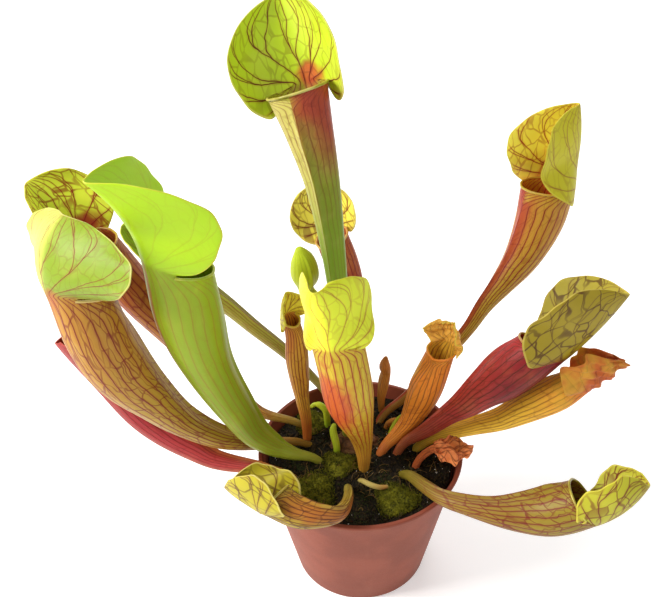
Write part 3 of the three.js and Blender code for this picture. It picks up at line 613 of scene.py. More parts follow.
class Workbench:
    """Blender operators in the few combinations that the pieces need."""

    @staticmethod
    def clear_selection() -> None:
        """Leaves nothing selected."""
        bpy.ops.object.select_all(action="DESELECT")

    @staticmethod
    def take(piece: bpy.types.Object) -> None:
        """Makes one object the only selected and active one.

        Args:
            piece: the object to select.
        """
        Workbench.clear_selection()
        piece.select_set(True)
        bpy.context.view_layer.objects.active = piece

    @staticmethod
    @contextmanager
    def editing(piece: bpy.types.Object) -> Iterator[None]:
        """Edit mode, with all of the piece selected.

        Args:
            piece: the mesh object to edit.

        Returns:
            A context that leaves edit mode at its end.
        """
        Workbench.take(piece)
        bpy.ops.object.mode_set(mode="EDIT")
        bpy.ops.mesh.select_all(action="SELECT")
        yield
        bpy.ops.object.mode_set(mode="OBJECT")

    @staticmethod
    def primitive(name: str, operator: Callable[..., set], **settings: object) -> bpy.types.Object:
        """Adds one of Blender's own shapes under a name.

        Args:
            name: the object's name.
            operator: the Blender operator that adds it.
            settings: the operator's own settings.

        Returns:
            The object.
        """
        Workbench.clear_selection()
        operator(**settings)
        piece = bpy.context.object
        piece.name = piece.data.name = name
        return piece

    @staticmethod
    def grid(name: str, columns: int, rows: int) -> bpy.types.Object:
        """Adds a grid one unit wide and high, from 0 to 1 both ways.

        Args:
            name: the object's name.
            columns: faces across.
            rows: faces up.

        Returns:
            The grid, ready to be shaped.
        """
        piece = Workbench.primitive(name, bpy.ops.mesh.primitive_grid_add, x_subdivisions=columns,
                                    y_subdivisions=rows, size=1, location=(0.5, 0.5, 0))
        bpy.ops.object.transform_apply(location=True, rotation=True, scale=True)
        return piece

    @staticmethod
    def add(name: str, data: bpy.types.ID) -> bpy.types.Object:
        """Puts new data in the scene as an object of that name.

        Args:
            name: the object's name.
            data: its curve, mesh, camera or light.

        Returns:
            The object.
        """
        piece = bpy.data.objects.new(name, data)
        bpy.context.collection.objects.link(piece)
        return piece

    @staticmethod
    def mesh(name: str, places: Array, faces: Array | list, edges: list | tuple = ()) -> bpy.types.Object:
        """Makes a mesh object.

        Args:
            name: the object's name.
            places: its vertices in millimetres, one row each.
            faces: vertex numbers of each face.
            edges: pairs of vertex numbers, for a mesh without faces.

        Returns:
            The object.
        """
        data = bpy.data.meshes.new(name)
        data.from_pydata((np.asarray(places) * MM).tolist(), edges, np.asarray(faces).tolist())
        return Workbench.add(name, data)

    @staticmethod
    def wire(name: str, lines: list[Array], radius: float, roundness: int, capped: bool) -> bpy.types.Object:
        """Makes round wires as one mesh.

        Args:
            name: the object's name.
            lines: each wire's places in millimetres, one row each.
            radius: their radius in millimetres.
            roundness: the curve's bevel resolution.
            capped: whether their ends are closed.

        Returns:
            The object.
        """
        data = bpy.data.curves.new(name, "CURVE")
        data.dimensions = "3D"
        data.bevel_depth = radius * MM
        data.bevel_resolution = roundness
        data.use_fill_caps = capped
        for line in lines:
            spline = data.splines.new("POLY")
            spline.points.add(len(line) - 1)
            for point, place in zip(spline.points, line * MM):
                point.co = (*place, 1.0)
        Workbench.take(Workbench.add(name, data))
        bpy.ops.object.convert(target="MESH")
        return bpy.context.object

    @staticmethod
    def places(piece: bpy.types.Object) -> Array:
        """The vertex places of a mesh, one row each.

        Args:
            piece: the mesh object.

        Returns:
            Places in metres.
        """
        co = np.empty(len(piece.data.vertices) * 3)
        piece.data.vertices.foreach_get("co", co)
        return co.reshape(-1, 3)

    @staticmethod
    def move_to(piece: bpy.types.Object, places: Array) -> None:
        """Puts a mesh's vertices at new places in metres."""
        piece.data.vertices.foreach_set("co", np.asarray(places, float).ravel())
        piece.data.update()

    @staticmethod
    def note(piece: bpy.types.Object, name: str, values: Array) -> None:
        """Stores one value for each vertex, or for each corner in a UV map if the values come in pairs.

        Args:
            piece: the mesh object.
            name: the attribute's or map's name.
            values: numbers for each vertex, or rows of two.
        """
        mesh = piece.data
        if values.ndim == 2:
            index = np.empty(len(mesh.loops), int)
            mesh.loops.foreach_get("vertex_index", index)
            layer = mesh.uv_layers.get(name) or mesh.uv_layers.new(name=name)
            layer.data.foreach_set("uv", values[index].ravel())
        else:
            layer = mesh.attributes.new(name, "FLOAT", "POINT")
            layer.data.foreach_set("value", values)

    @staticmethod
    def join(pieces: list[bpy.types.Object]) -> bpy.types.Object:
        """Joins meshes into the first and merges the vertices that meet.

        Args:
            pieces: the objects to join.

        Returns:
            The joined object.
        """
        Workbench.take(pieces[0])
        for piece in pieces:
            piece.select_set(True)
        bpy.ops.object.join()
        with Workbench.editing(pieces[0]):
            bpy.ops.mesh.remove_doubles(threshold=MERGE)
        return pieces[0]

    @staticmethod
    def modify(piece: bpy.types.Object, kind: str, **settings: object) -> None:
        """Adds a modifier with the given settings and applies it.

        Args:
            piece: the mesh object.
            kind: the modifier's type.
            settings: its settings.
        """
        Workbench.take(piece)
        modifier = piece.modifiers.new(kind.lower(), kind)
        for key, value in settings.items():
            setattr(modifier, key, value)
        bpy.ops.object.modifier_apply(modifier=modifier.name)

    @staticmethod
    def round_off(piece: bpy.types.Object) -> None:
        """Rounds a piece with one level of subdivision."""
        Workbench.modify(piece, "SUBSURF", levels=1, render_levels=1)

    @staticmethod
    def flip(piece: bpy.types.Object) -> None:
        """Turns every face round."""
        with Workbench.editing(piece):
            bpy.ops.mesh.flip_normals()

    @staticmethod
    def close(piece: bpy.types.Object, merge: float, is_outward: bool = True) -> None:
        """Merges the vertices that meet and fills the open ends.

        Args:
            piece: the mesh object.
            merge: distance in metres below which vertices become one.
            is_outward: whether the faces are turned outwards afterwards.
        """
        with Workbench.editing(piece):
            bpy.ops.mesh.remove_doubles(threshold=merge)
            bpy.ops.mesh.select_all(action="DESELECT")
            bpy.ops.mesh.select_non_manifold()
            bpy.ops.mesh.edge_face_add()
            if is_outward:
                bpy.ops.mesh.select_all(action="SELECT")
                bpy.ops.mesh.normals_make_consistent(inside=False)

    @staticmethod
    def dress(piece: bpy.types.Object, materials: list[bpy.types.Material]) -> None:
        """Gives a piece its materials, in order.

        Args:
            piece: the mesh object.
            materials: its materials, first slot first.
        """
        piece.data.materials.clear()
        for material in materials:
            piece.data.materials.append(material)

    @staticmethod
    def finish(piece: bpy.types.Object, material: bpy.types.Material | None, slot: str, node: str | None) -> None:
        """Smooths a piece, dresses it, and hands it to the frame.

        Args:
            piece: the finished mesh object.
            material: its material, or None if it already has its own.
            slot: the material slot of the record; not used.
            node: the solid that it stands for, if any.
        """
        Workbench.take(piece)
        bpy.ops.object.shade_smooth()
        if material is not None:
            Workbench.dress(piece, [material])
        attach(piece, BODY)
        if node:
            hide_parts(node)
        LOG.info("%s: %d faces", piece.name, len(piece.data.polygons))


# ---- Shader graphs ----

Socket = bpy.types.NodeSocket


class Graph:
    """A node tree with short ways to add what the finishes need."""

    def __init__(self, tree: bpy.types.NodeTree) -> None:
        """Starts from an empty tree."""
        self.tree = tree
        tree.nodes.clear()

    def node(self, kind: str, **settings: object) -> bpy.types.Node:
        """Adds a node and sets its properties.

        Args:
            kind: the node's type.
            settings: its properties.

        Returns:
            The node.
        """
        made = self.tree.nodes.new(kind)
        for key, value in settings.items():
            setattr(made, key, value)
        return made

    def feed(self, socket: Socket, value: object) -> None:
        """Links a socket to an output, or sets it to a value.

        Args:
            socket: the input.
            value: an output, a number or a colour.
        """
        if isinstance(value, bpy.types.NodeSocket):
            self.tree.links.new(value, socket)
        elif isinstance(value, tuple) and len(value) == 3 and socket.type == "RGBA":
            socket.default_value = (*value, 1.0)
        else:
            socket.default_value = value

    def fill(self, node: bpy.types.Node, **values: object) -> bpy.types.Node:
        """Feeds a node's inputs; underscores in the names stand for spaces.

        Args:
            node: the node.
            values: an output or a value for each input.

        Returns:
            The same node.
        """
        for key, value in values.items():
            self.feed(node.inputs[key.replace("_", " ")], value)
        return node

    def math(self, operation: str, a: object, b: object = 0.0, c: object = 0.0) -> Socket:
        """One Math node's result.

        Args:
            operation: the node's operation.
            a, b, c: its inputs, as many as it uses.

        Returns:
            The result.
        """
        made = self.node("ShaderNodeMath", operation=operation)
        for socket, value in zip(made.inputs, (a, b, c)):
            self.feed(socket, value)
        return made.outputs[0]

    def times(self, a: object, b: object) -> Socket:
        """A product."""
        return self.math("MULTIPLY", a, b)

    def plus(self, a: object, b: object) -> Socket:
        """A sum."""
        return self.math("ADD", a, b)

    def minus(self, a: object, b: object) -> Socket:
        """A difference."""
        return self.math("SUBTRACT", a, b)

    def over(self, a: object, b: object) -> Socket:
        """A quotient."""
        return self.math("DIVIDE", a, b)

    def times_plus(self, a: object, b: object, c: object) -> Socket:
        """A product with a third value added."""
        return self.math("MULTIPLY_ADD", a, b, c)

    def step(self, value: object, low: object, high: object) -> Socket:
        """Smooth step of a value from 0 at low to 1 at high."""
        made = self.node("ShaderNodeMapRange", interpolation_type="SMOOTHSTEP")
        return self.fill(made, Value=value, From_Min=low, From_Max=high).outputs["Result"]

    def mix(self, factor: object, a: object, b: object, blend: str = "MIX") -> Socket:
        """Mixes two colours.

        Args:
            factor: how much of the second colour.
            a: the first colour.
            b: the second colour.
            blend: the node's blend type.

        Returns:
            The mixed colour.
        """
        made = self.node("ShaderNodeMix", data_type="RGBA", blend_type=blend, clamp_factor=True)
        self.feed(made.inputs[0], factor)
        self.feed(made.inputs[6], a)
        self.feed(made.inputs[7], b)
        return made.outputs[2]

    def noise(self, vector: object, scale: float, detail: float = 2.0, rough: float = 0.5) -> Socket:
        """A noise value near 0.5."""
        made = self.node("ShaderNodeTexNoise")
        return self.fill(made, Vector=vector, Scale=scale, Detail=detail, Roughness=rough).outputs["Fac"]

    def cells(self, vector: object, scale: float, feature: str = "DISTANCE_TO_EDGE") -> Socket:
        """A Voronoi pattern's distance."""
        made = self.node("ShaderNodeTexVoronoi", feature=feature)
        return self.fill(made, Vector=vector, Scale=scale, Randomness=1.0).outputs["Distance"]

    def combine(self, x: object, y: object, z: object = 0.0) -> Socket:
        """A vector from three numbers."""
        return self.fill(self.node("ShaderNodeCombineXYZ"), X=x, Y=y, Z=z).outputs[0]

    def separate(self, vector: object) -> tuple[Socket, Socket, Socket]:
        """A vector's three numbers."""
        return tuple(self.fill(self.node("ShaderNodeSeparateXYZ"), Vector=vector).outputs)

    def object_place(self) -> Socket:
        """Object coordinates in metres."""
        return self.node("ShaderNodeTexCoord").outputs["Object"]

    def bump(self, height: object, distance: float, strength: float = 1.0) -> Socket:
        """A bump normal from a height."""
        made = self.node("ShaderNodeBump")
        return self.fill(made, Height=height, Distance=distance, Strength=strength).outputs["Normal"]

    def group(self, shared: bpy.types.NodeTree, **values: object) -> bpy.types.Node:
        """Places a shared group and feeds its inputs."""
        return self.fill(self.node("ShaderNodeGroup", node_tree=shared), **values)


def new_group(name: str, inputs: dict[str, tuple[str, float]], outputs: dict[str, str]) -> tuple:
    """Makes a shader node group with named sockets.

    Args:
        name: the group's name.
        inputs: socket type and default value for each input name.
        outputs: socket type for each output name.

    Returns:
        The tree, its graph, its input node's outputs and its output node.
    """
    tree = bpy.data.node_groups.new(name, "ShaderNodeTree")
    for key, (kind, default) in inputs.items():
        socket = tree.interface.new_socket(key, in_out="INPUT", socket_type=kind)
        if kind == "NodeSocketFloat":
            socket.default_value = default
    for key, kind in outputs.items():
        tree.interface.new_socket(key, in_out="OUTPUT", socket_type=kind)
    graph = Graph(tree)
    start = graph.node("NodeGroupInput")
    end = graph.node("NodeGroupOutput")
    return tree, graph, start.outputs, end


FLOAT = "NodeSocketFloat"
VECTOR = "NodeSocketVector"


class Effects:
    """The shader groups that more than one material uses, each built once."""

    def __init__(self) -> None:
        """Builds the groups."""
        self.fan = self._fan()
        self.net = self._net()
        self.grain = self._grain()

    @staticmethod
    def _fan() -> bpy.types.NodeTree:
        """Veins that run up the leaf, spread apart in the hood and fork twice there.

        Returns:
            The group's tree.
        """
        tree, g, given, end = new_group(
            "leaf_fan_veins",
            {"Leaf": (VECTOR, 0), "Skin": (VECTOR, 0), "Span": (FLOAT, 10), "Count": (FLOAT, 3.5),
             "Width": (FLOAT, 0.37), "Fork": (FLOAT, 1.2), "Wobble": (FLOAT, 0.085), "Spread": (FLOAT, 1.8)},
            {"Lines": FLOAT, "Halo": FLOAT})
        across, along, _ = g.separate(given["Leaf"])
        above = g.math("MAXIMUM", g.minus(along, 1.0), 0.0)
        pinch = g.times_plus(g.step(along, 0.94, 1.04), -0.5, 1.0)
        widen = g.times_plus(above, given["Spread"], pinch)
        slow = g.minus(g.noise(given["Skin"], 0.6, 0.0), 0.5)
        quick = g.minus(g.noise(given["Skin"], 2.4, 0.5), 0.5)
        wander = g.over(g.times_plus(quick, 0.2, slow), g.plus(above, 1.0))
        bent = g.times_plus(wander, g.times(given["Wobble"], 2.0), g.over(across, widen))
        scaled = g.times(bent, given["Count"])
        vein = g.math("ROUND", scaled)
        chance = g.math("SINE", g.times(vein, 4.3))
        height = g.times_plus(chance, 0.16, along)
        first = g.step(height, given["Fork"], g.plus(given["Fork"], 0.45))
        signed = g.minus(g.minus(scaled, vein), g.times(g.times(chance, first), 0.1))
        once = g.math("ABSOLUTE", g.minus(g.math("ABSOLUTE", signed), g.times(first, 0.24)))
        later = g.times_plus(g.math("SIGN", signed), 0.12, height)
        second = g.step(later, g.plus(given["Fork"], 0.28), g.plus(given["Fork"], 0.75))
        twice = g.math("ABSOLUTE", g.minus(once, g.times(second, 0.12)))
        unit = g.over(g.times(given["Span"], widen), given["Count"])
        distance = g.times(twice, unit)
        thin = g.times(given["Width"], g.times_plus(above, -0.55, 1.15))
        thin = g.math("MINIMUM", thin, g.times(unit, 0.16))
        g.fill(end, Lines=g.step(distance, thin, g.times(thin, 0.4)), Halo=g.step(distance, g.times(thin, 4.0), 0.0))
        return tree

    @staticmethod
    def _net() -> bpy.types.NodeTree:
        """A net of small smooth veins, longer up the leaf than across it.

        Returns:
            The group's tree.
        """
        tree, g, given, end = new_group(
            "leaf_net_veins",
            {"Skin": (VECTOR, 0), "Across": (FLOAT, 2.2), "Up": (FLOAT, 1.1), "Width": (FLOAT, 0.06)},
            {"Net": FLOAT})
        x, y, _ = g.separate(given["Skin"])
        shift = g.minus(g.noise(given["Skin"], 1.6, 0.5), 0.5)
        bent = g.combine(
            g.times_plus(shift, 0.9, g.times(x, given["Across"])),
            g.times_plus(shift, 0.6, g.times(y, given["Up"])))
        distance = g.cells(bent, 1.0)
        patchy = g.step(g.noise(given["Skin"], 0.9, 1.0), 0.25, 0.6)
        net = g.step(distance, given["Width"], g.times(given["Width"], 0.3))
        g.fill(end, Net=g.times(net, g.times_plus(patchy, 0.7, 0.3)))
        return tree

    @staticmethod
    def _grain() -> bpy.types.NodeTree:
        """Fine grain and slow mottle on Object coordinates, each from 0 to 1.

        Returns:
            The group's tree.
        """
        tree, g, given, end = new_group(
            "fine_grain", {"Fine": (FLOAT, 900), "Slow": (FLOAT, 60)}, {"Grain": FLOAT, "Mottle": FLOAT})
        place = g.object_place()
        g.fill(end, Grain=g.noise(place, given["Fine"], 3.0, 0.6), Mottle=g.noise(place, given["Slow"], 3.0, 0.55))
        return tree


class Finisher:
    """Makes the materials."""

    def __init__(self) -> None:
        """Builds the shared effects."""
        self.effects = Effects()
        self.made: dict[Look, list[bpy.types.Material]] = {}

    def _new(self, name: str) -> tuple[bpy.types.Material, Graph, bpy.types.Node]:
        """An empty node material with a Principled shader.

        Args:
            name: the material's name.

        Returns:
            The material, its graph and its shader.
        """
        material = bpy.data.materials.new(name)
        material.use_nodes = True
        graph = Graph(material.node_tree)
        shader = graph.node("ShaderNodeBsdfPrincipled")
        end = graph.node("ShaderNodeOutputMaterial")
        graph.feed(end.inputs["Surface"], shader.outputs[0])
        return material, graph, shader

    def leaf(self, look: Look) -> list[bpy.types.Material]:
        """The skins of a leaf: the outer one, and the one inside its tube and hood where that differs, whose hood is
        lightened there as painted light against the shade inside.

        Args:
            look: the finish's name.

        Returns:
            One or two materials.
        """
        if look not in self.made:
            self.made[look] = [self._skin("leaf_" + look.value, FINISHES[look])]
            if look in INSIDES:
                self.made[look].append(self._skin("inside_" + look.value, INSIDES[look]))
        return self.made[look]

    def _base(self, g: Graph, finish: LeafFinish, height: Socket, mottle: Socket, across: Socket) -> Socket:
        """The colour under the veins, from foot to hood, with its flush.

        Args:
            g: the material's graph.
            finish: the finish.
            height: how far up the leaf, with a little mottle in it.
            mottle: slow noise.
            across: place round the leaf.

        Returns:
            The colour.
        """
        colour = g.mix(g.step(height, *FOOT_TO_BELLY), finish.foot, finish.belly)
        colour = g.mix(g.step(height, *BELLY_TO_NECK), colour, finish.neck)
        hood = finish.hood
        if finish.second:
            hood = g.mix(g.step(across, -0.08, 0.08), finish.hood, finish.second)
        colour = g.mix(g.step(height, *NECK_TO_HOOD), colour, hood)
        colour = g.mix(g.times(g.step(mottle, 0.45, 0.7), 0.1), colour, finish.margin)
        if finish.red_seam:
            near = g.step(g.math("ABSOLUTE", across), 2.2, 2.75)
            colour = g.mix(g.times(g.times(near, g.step(height, 1.0, 0.97)), finish.red_seam), colour, RED)
        if finish.pale_side:
            side = g.times(g.step(across, 1.75, 1.95), g.times(g.step(height, 0.42, 0.8), g.step(height, 1.02, 0.98)))
            colour = g.mix(g.times(side, finish.pale_side), colour, finish.margin)
        patch = finish.flush
        far_up = g.over(g.minus(height, patch.at), patch.reach)
        far_round = g.over(g.minus(across, patch.across), patch.wide)
        far = g.plus(g.times(far_up, far_up), g.times(far_round, far_round))
        ragged = g.times_plus(g.minus(mottle, 0.5), 1.6, far)
        return g.mix(g.times(g.step(ragged, 1.15, 0.1), patch.amount), colour, patch.colour)

    def _skin(self, name: str, finish: LeafFinish) -> bpy.types.Material:
        """One skin of a leaf, with its veins.

        Args:
            name: the material's name.
            finish: its finish.

        Returns:
            The material.
        """
        material, g, shader = self._new(name)
        leaf = g.node("ShaderNodeUVMap", uv_map="leaf_map").outputs[0]
        skin = g.node("ShaderNodeUVMap", uv_map="skin_map").outputs[0]
        span = g.node("ShaderNodeAttribute", attribute_name="leaf_span").outputs["Fac"]
        rim = g.node("ShaderNodeAttribute", attribute_name="leaf_rim").outputs["Fac"]
        across, along, _ = g.separate(leaf)
        grain = g.group(self.effects.grain)
        mottle = grain.outputs["Mottle"]
        height = g.times_plus(g.minus(mottle, 0.5), 0.25, along)
        colour = self._base(g, finish, height, mottle, across)
        in_hood = g.step(along, *OVER_MOUTH)
        fan = g.group(self.effects.fan, Leaf=leaf, Skin=skin, Span=span)
        tube_net = g.group(self.effects.net, Skin=skin, Across=2.4, Up=0.8, Width=0.075)
        hood_net = g.group(self.effects.net, Skin=skin, Across=finish.net_across, Up=finish.net_across * 0.75,
                           Width=finish.net_width * finish.net_across)
        amount = g.times_plus(in_hood, finish.hood_lines - finish.tube_lines, finish.tube_lines)
        upwards = g.step(along, finish.veined_from, finish.veined_from + 0.37)
        amount = g.times(amount, g.times_plus(upwards, 0.6, 0.4))
        halo = g.times(g.times(fan.outputs["Halo"], amount), 0.34)
        colour = g.mix(halo, colour, g.mix(0.5, finish.vein, finish.flush.colour))
        low = g.times(g.times(tube_net.outputs["Net"], g.minus(1.0, in_hood)), g.times(upwards, finish.tube_net))
        high = g.times(g.times(hood_net.outputs["Net"], in_hood), finish.hood_net)
        net = g.plus(low, high)
        colour = g.mix(g.times(net, 0.8), colour, finish.vein)
        lines = g.times(g.times(fan.outputs["Lines"], amount), g.step(rim, 0.4, 3.0))
        colour = g.mix(g.times(lines, 0.92), colour, finish.vein)
        margin = g.times(g.step(rim, 0.8, 0.3), in_hood)
        colour = g.mix(g.times(margin, 0.6), colour, finish.margin)
        if finish.dryness:
            dead = g.times(g.step(mottle, 0.42, 0.62), g.times(g.step(along, 0.55, 1.0), finish.dryness * 0.8))
            colour = g.mix(dead, colour, finish.foot)
            scorched = g.times(g.step(mottle, 0.6, 0.72), finish.dryness * 0.5)
            colour = g.mix(g.times(scorched, in_hood), colour, SCORCHED)
        raised = g.plus(g.times(lines, 0.8), g.times(net, 0.5))
        raised = g.plus(raised, g.times(grain.outputs["Grain"], 0.25 + finish.dryness))
        g.fill(shader, Base_Color=colour, Normal=g.bump(raised, 0.3 * MM, 0.6 + 0.4 * finish.dryness),
               Roughness=g.times_plus(grain.outputs["Grain"], 0.2, 0.34 + 0.3 * finish.dryness), **LEAF_FLESH)
        return material

    def lip(self, look: Look) -> bpy.types.Material:
        """The rolled lip: pale and glossy, flushed with the leaf's own colour in places.

        Args:
            look: the leaf's look.

        Returns:
            The material.
        """
        finish = FINISHES[look]
        material, g, shader = self._new("lip_" + look.value)
        grain = g.group(self.effects.grain)
        pale = g.mix(0.45, finish.margin, finish.neck)
        colour = g.mix(g.step(grain.outputs["Mottle"], 0.4, 0.65), pale, finish.neck)
        g.fill(shader, Base_Color=colour, Roughness=g.times_plus(grain.outputs["Grain"], 0.2, 0.2))
        return material

    def pot(self, finish: PotFinish = PotFinish()) -> bpy.types.Material:
        """The pot's plastic.

        Args:
            finish: the plastic's colours.

        Returns:
            The material.
        """
        material, g, shader = self._new("pot_plastic")
        grain = g.group(self.effects.grain, Fine=1400.0, Slow=38.0)
        place = g.object_place()
        x, y, z = g.separate(place)
        colour = g.mix(g.step(grain.outputs["Mottle"], 0.35, 0.7), finish.dark, finish.light)
        streak = g.noise(g.combine(g.times(x, 90.0), g.times(y, 90.0), g.times(z, 14.0)), 1.0, 4.0, 0.6)
        colour = g.mix(g.times(g.step(streak, 0.55, 0.8), 0.25), colour, finish.scuff)
        # Darker towards the bottom, in patches.
        darker_base = g.times(g.step(z, 0.02, 0.0), g.step(grain.outputs["Mottle"], 0.4, 0.65))
        colour = g.mix(g.times(darker_base, 0.35), colour, finish.darker_base)
        speck = g.step(g.cells(place, 420.0, "F1"), 0.1, 0.04)
        colour = g.mix(g.times(speck, 0.5), colour, finish.speck)
        g.fill(shader, Base_Color=colour, Roughness=g.times_plus(grain.outputs["Grain"], 0.25, finish.rough),
               Specular_IOR_Level=finish.specular, Normal=g.bump(grain.outputs["Grain"], 0.2 * MM, 0.35))
        return material

    def peat(self, finish: PeatFinish = PeatFinish()) -> bpy.types.Material:
        """The peat under its crumbs.

        Args:
            finish: the peat's colours.

        Returns:
            The material.
        """
        material, g, shader = self._new("peat")
        grain = g.group(self.effects.grain, Fine=700.0, Slow=42.0)
        colour = g.mix(g.step(grain.outputs["Grain"], 0.35, 0.7), finish.dark, finish.light)
        bloom = g.times(g.step(grain.outputs["Mottle"], 0.5, 0.66), g.step(grain.outputs["Grain"], 0.4, 0.6))
        colour = g.mix(g.times(bloom, 0.8), colour, finish.algae)
        g.fill(shader, Base_Color=colour, Roughness=g.times_plus(grain.outputs["Mottle"], 0.3, finish.rough),
               Specular_IOR_Level=finish.specular, Normal=g.bump(grain.outputs["Grain"], 1.2 * MM))
        return material

    def mottled(self, finish: RoughFinish) -> bpy.types.Material:
        """A plain rough material that mottles between two colours.

        Args:
            finish: its colours, grain and roughness.

        Returns:
            The material.
        """
        material, g, shader = self._new(finish.name)
        grain = g.group(self.effects.grain, Fine=finish.fine, Slow=finish.fine * 0.2)
        colour = g.mix(g.step(grain.outputs["Grain"], 0.3, 0.7), finish.dark, finish.light)
        colour = g.mix(g.step(grain.outputs["Mottle"], 0.4, 0.75), colour, finish.light)
        g.fill(shader, Base_Color=colour, Roughness=g.times_plus(grain.outputs["Mottle"], 0.2, finish.rough),
               Specular_IOR_Level=0.15, Normal=g.bump(grain.outputs["Grain"], 0.4 * MM, 0.7))
        return material

    def floor(self) -> bpy.types.Material:
        """Plain pale floor.

        Returns:
            The material.
        """
        material, g, shader = self._new("pale_floor")
        grain = g.group(self.effects.grain, Fine=300.0, Slow=4.0)
        pale = g.mix(grain.outputs["Mottle"], (0.9, 0.9, 0.9), (0.93, 0.93, 0.93))
        g.fill(shader, Base_Color=pale, Roughness=0.8, Emission_Color=(1.0, 1.0, 1.0), Emission_Strength=0.35)
        return material


# ---- Leaves, built ----


@dataclass
class LeafMaker:
    """Builds open pitchers, closed shoots and the withered leaf."""

    finisher: Finisher
    wall: float = 0.8
    lip_radius: float = 0.7
    neck_columns: int = 14
    front_columns: int = 14
    row_spacing: float = 4.0
    hood_rows: int = 28
    dry_folds: float = 2.6
    seam_width: float = 0.1
    rib_height: float = 0.1
    rib_count: int = 11
    pinched_from: float = 0.72
    path_steps: int = 400
    section_steps: int = 24
    lip_overlap: float = 0.06
    lip_points: int = 61
    withered_wall: float = 0.7
    withered_length: float = 22.5
    withered_width: float = 10.0
    withered_crumple: float = 3.4
    withered_grid: tuple[int, int] = (60, 44)

    def around(self) -> Array:
        """Angles round a tube from seam to seam, with the keel at zero.

        Returns:
            Angles in radians.
        """
        neck = np.linspace(0, NECK, self.neck_columns + 1)
        front = np.linspace(NECK, math.pi, self.front_columns + 1)[1:]
        half = np.concatenate([neck, front])
        return np.concatenate([-half[:0:-1], half])

    def ring(self, leaf: Leaf, t: Array, angle: Array, extra: Array | float = 0.0) -> Array:
        """Places round the tube.

        Args:
            leaf: the leaf.
            t: parameters along the spine, one for each place.
            angle: angles from the keel, one for each place.
            extra: how far the places stand out beyond the tube's radius.

        Returns:
            Places in millimetres, one row each.
        """
        f = spine_frame(leaf, t)
        tilt = leaf.mouth * ease((t - MOUTH_FROM) / (1 - MOUTH_FROM))
        seam = np.exp(-(((math.pi - np.abs(angle)) / self.seam_width) ** 2))
        ridge = leaf.wing * ease(t * 4 - 0.6) * ease((1 - t) * 5) * seam
        rib = self.rib_height * np.cos(angle * self.rib_count) * ease(t * 3 - 0.5)
        pressed = ease((t - self.pinched_from) / (1 - self.pinched_from))
        folded = leaf.pinch * pressed * ((1 - np.cos(angle)) / 2) ** 2
        reach = (f.radius * (1 - folded) + ridge + rib + extra)[:, None]
        place = f.place + f.side * np.sin(angle)[:, None] * reach - f.front * np.cos(angle)[:, None] * reach
        return place + f.along * (tilt * (1 + np.cos(angle)) / 2)[:, None]

    def tube(self, leaf: Leaf) -> bpy.types.Object:
        """The tube of a leaf as an open sheet.

        Args:
            leaf: the leaf.

        Returns:
            The tube with its maps, faces outwards.
        """
        angles = self.around()
        length = spine_length(leaf)
        rows = max(12, round(length / self.row_spacing))
        piece = Workbench.grid(leaf.name, len(angles) - 1, rows)
        uv = Workbench.places(piece)
        angle = np.interp(uv[:, 0], np.linspace(0, 1, len(angles)), angles)
        t = uv[:, 1]
        Workbench.move_to(piece, self.ring(leaf, t, angle) * MM)
        radius = spine_frame(leaf, t).radius
        skin = angle * radius * SKIN_PER_MM, t * length * SKIN_PER_MM
        self.map_leaf(piece, (angle / NECK, t), skin, NECK * radius)
        self.face_out(piece, spine_frame(leaf, np.array([0.5])).place[0] * MM)
        return piece

    @staticmethod
    def map_leaf(piece: bpy.types.Object, leaf: tuple[Array, Array], skin: tuple[Array, Array], span: Array | float,
                 rim: Array | float = FAR_FROM_EDGE) -> None:
        """Stores the maps that the skins read, with a value for each vertex.

        Args:
            piece: the mesh object.
            leaf: place across the leaf and along it.
            skin: distance across and along, in the veins' own unit.
            span: half the leaf's breadth in millimetres.
            rim: distance from the hood's edge in millimetres.
        """
        Workbench.note(piece, "leaf_map", np.stack(leaf, axis=1))
        Workbench.note(piece, "skin_map", np.stack(skin, axis=1))
        for name, values in (("leaf_span", span), ("leaf_rim", rim)):
            Workbench.note(piece, name, np.full(len(piece.data.vertices), values))

    @staticmethod
    def face_out(piece: bpy.types.Object, centre: Array) -> None:
        """Turns an open sheet so that the face nearest to a point looks away from it.

        Args:
            piece: the sheet.
            centre: the point, in metres.
        """
        centres = np.array([p.center for p in piece.data.polygons])
        nearest = int(np.argmin(np.linalg.norm(centres - centre, axis=1)))
        normal = np.array(piece.data.polygons[nearest].normal)
        if np.dot(centres[nearest] - centre, normal) < 0:
            Workbench.flip(piece)

    def keel(self, hood: Hood, mouth: SpineFrame, v: Array) -> Array:
        """Places along a hood's keel, measured from the back of its mouth.

        Args:
            hood: the hood.
            mouth: the spine's frame at the mouth.
            v: from 0 at the neck to 1 at the tip.

        Returns:
            Places in millimetres, one row each.
        """
        axis, inward = mouth.along[0], mouth.front[0]
        grid = (np.arange(self.path_steps) + 0.5) / self.path_steps
        bend = math.radians(hood.lean) * grid
        travel = np.outer(np.cos(bend), axis) + np.outer(np.sin(bend), inward)
        facing = np.outer(np.cos(bend), inward) - np.outer(np.sin(bend), axis)
        steps = travel * hood.length / self.path_steps - facing * (2 * hood.away * grid / self.path_steps)[:, None]
        path = np.vstack([np.zeros(3), np.cumsum(steps, axis=0)])
        at = np.linspace(0, 1, self.path_steps + 1)
        return np.stack([np.interp(v, at, path[:, k]) for k in range(3)], axis=1)

    def section(self, hood: Hood, u: Array, length: Array, free: Array) -> tuple[Array, Array]:
        """The half section of a hood, turned and curled.

        Args:
            hood: the hood.
            u: from 0 at the keel to 1 at the edge.
            length: length of the half section in millimetres.
            free: from 0 where the tube still holds it to 1.

        Returns:
            How far each place lies sideways and forwards, in millimetres.
        """
        turn = NECK + (math.radians(hood.turn) - NECK) * free
        x, y = np.zeros_like(u), np.zeros_like(u)
        for i in range(self.section_steps):
            w = u * (i + 0.5) / self.section_steps
            angle = math.radians(hood.fold) * free * ease(w * 5) + turn * w - math.radians(hood.curl) * w**3
            x += np.cos(angle) * length * u / self.section_steps
            y += np.sin(angle) * length * u / self.section_steps
        return x, y

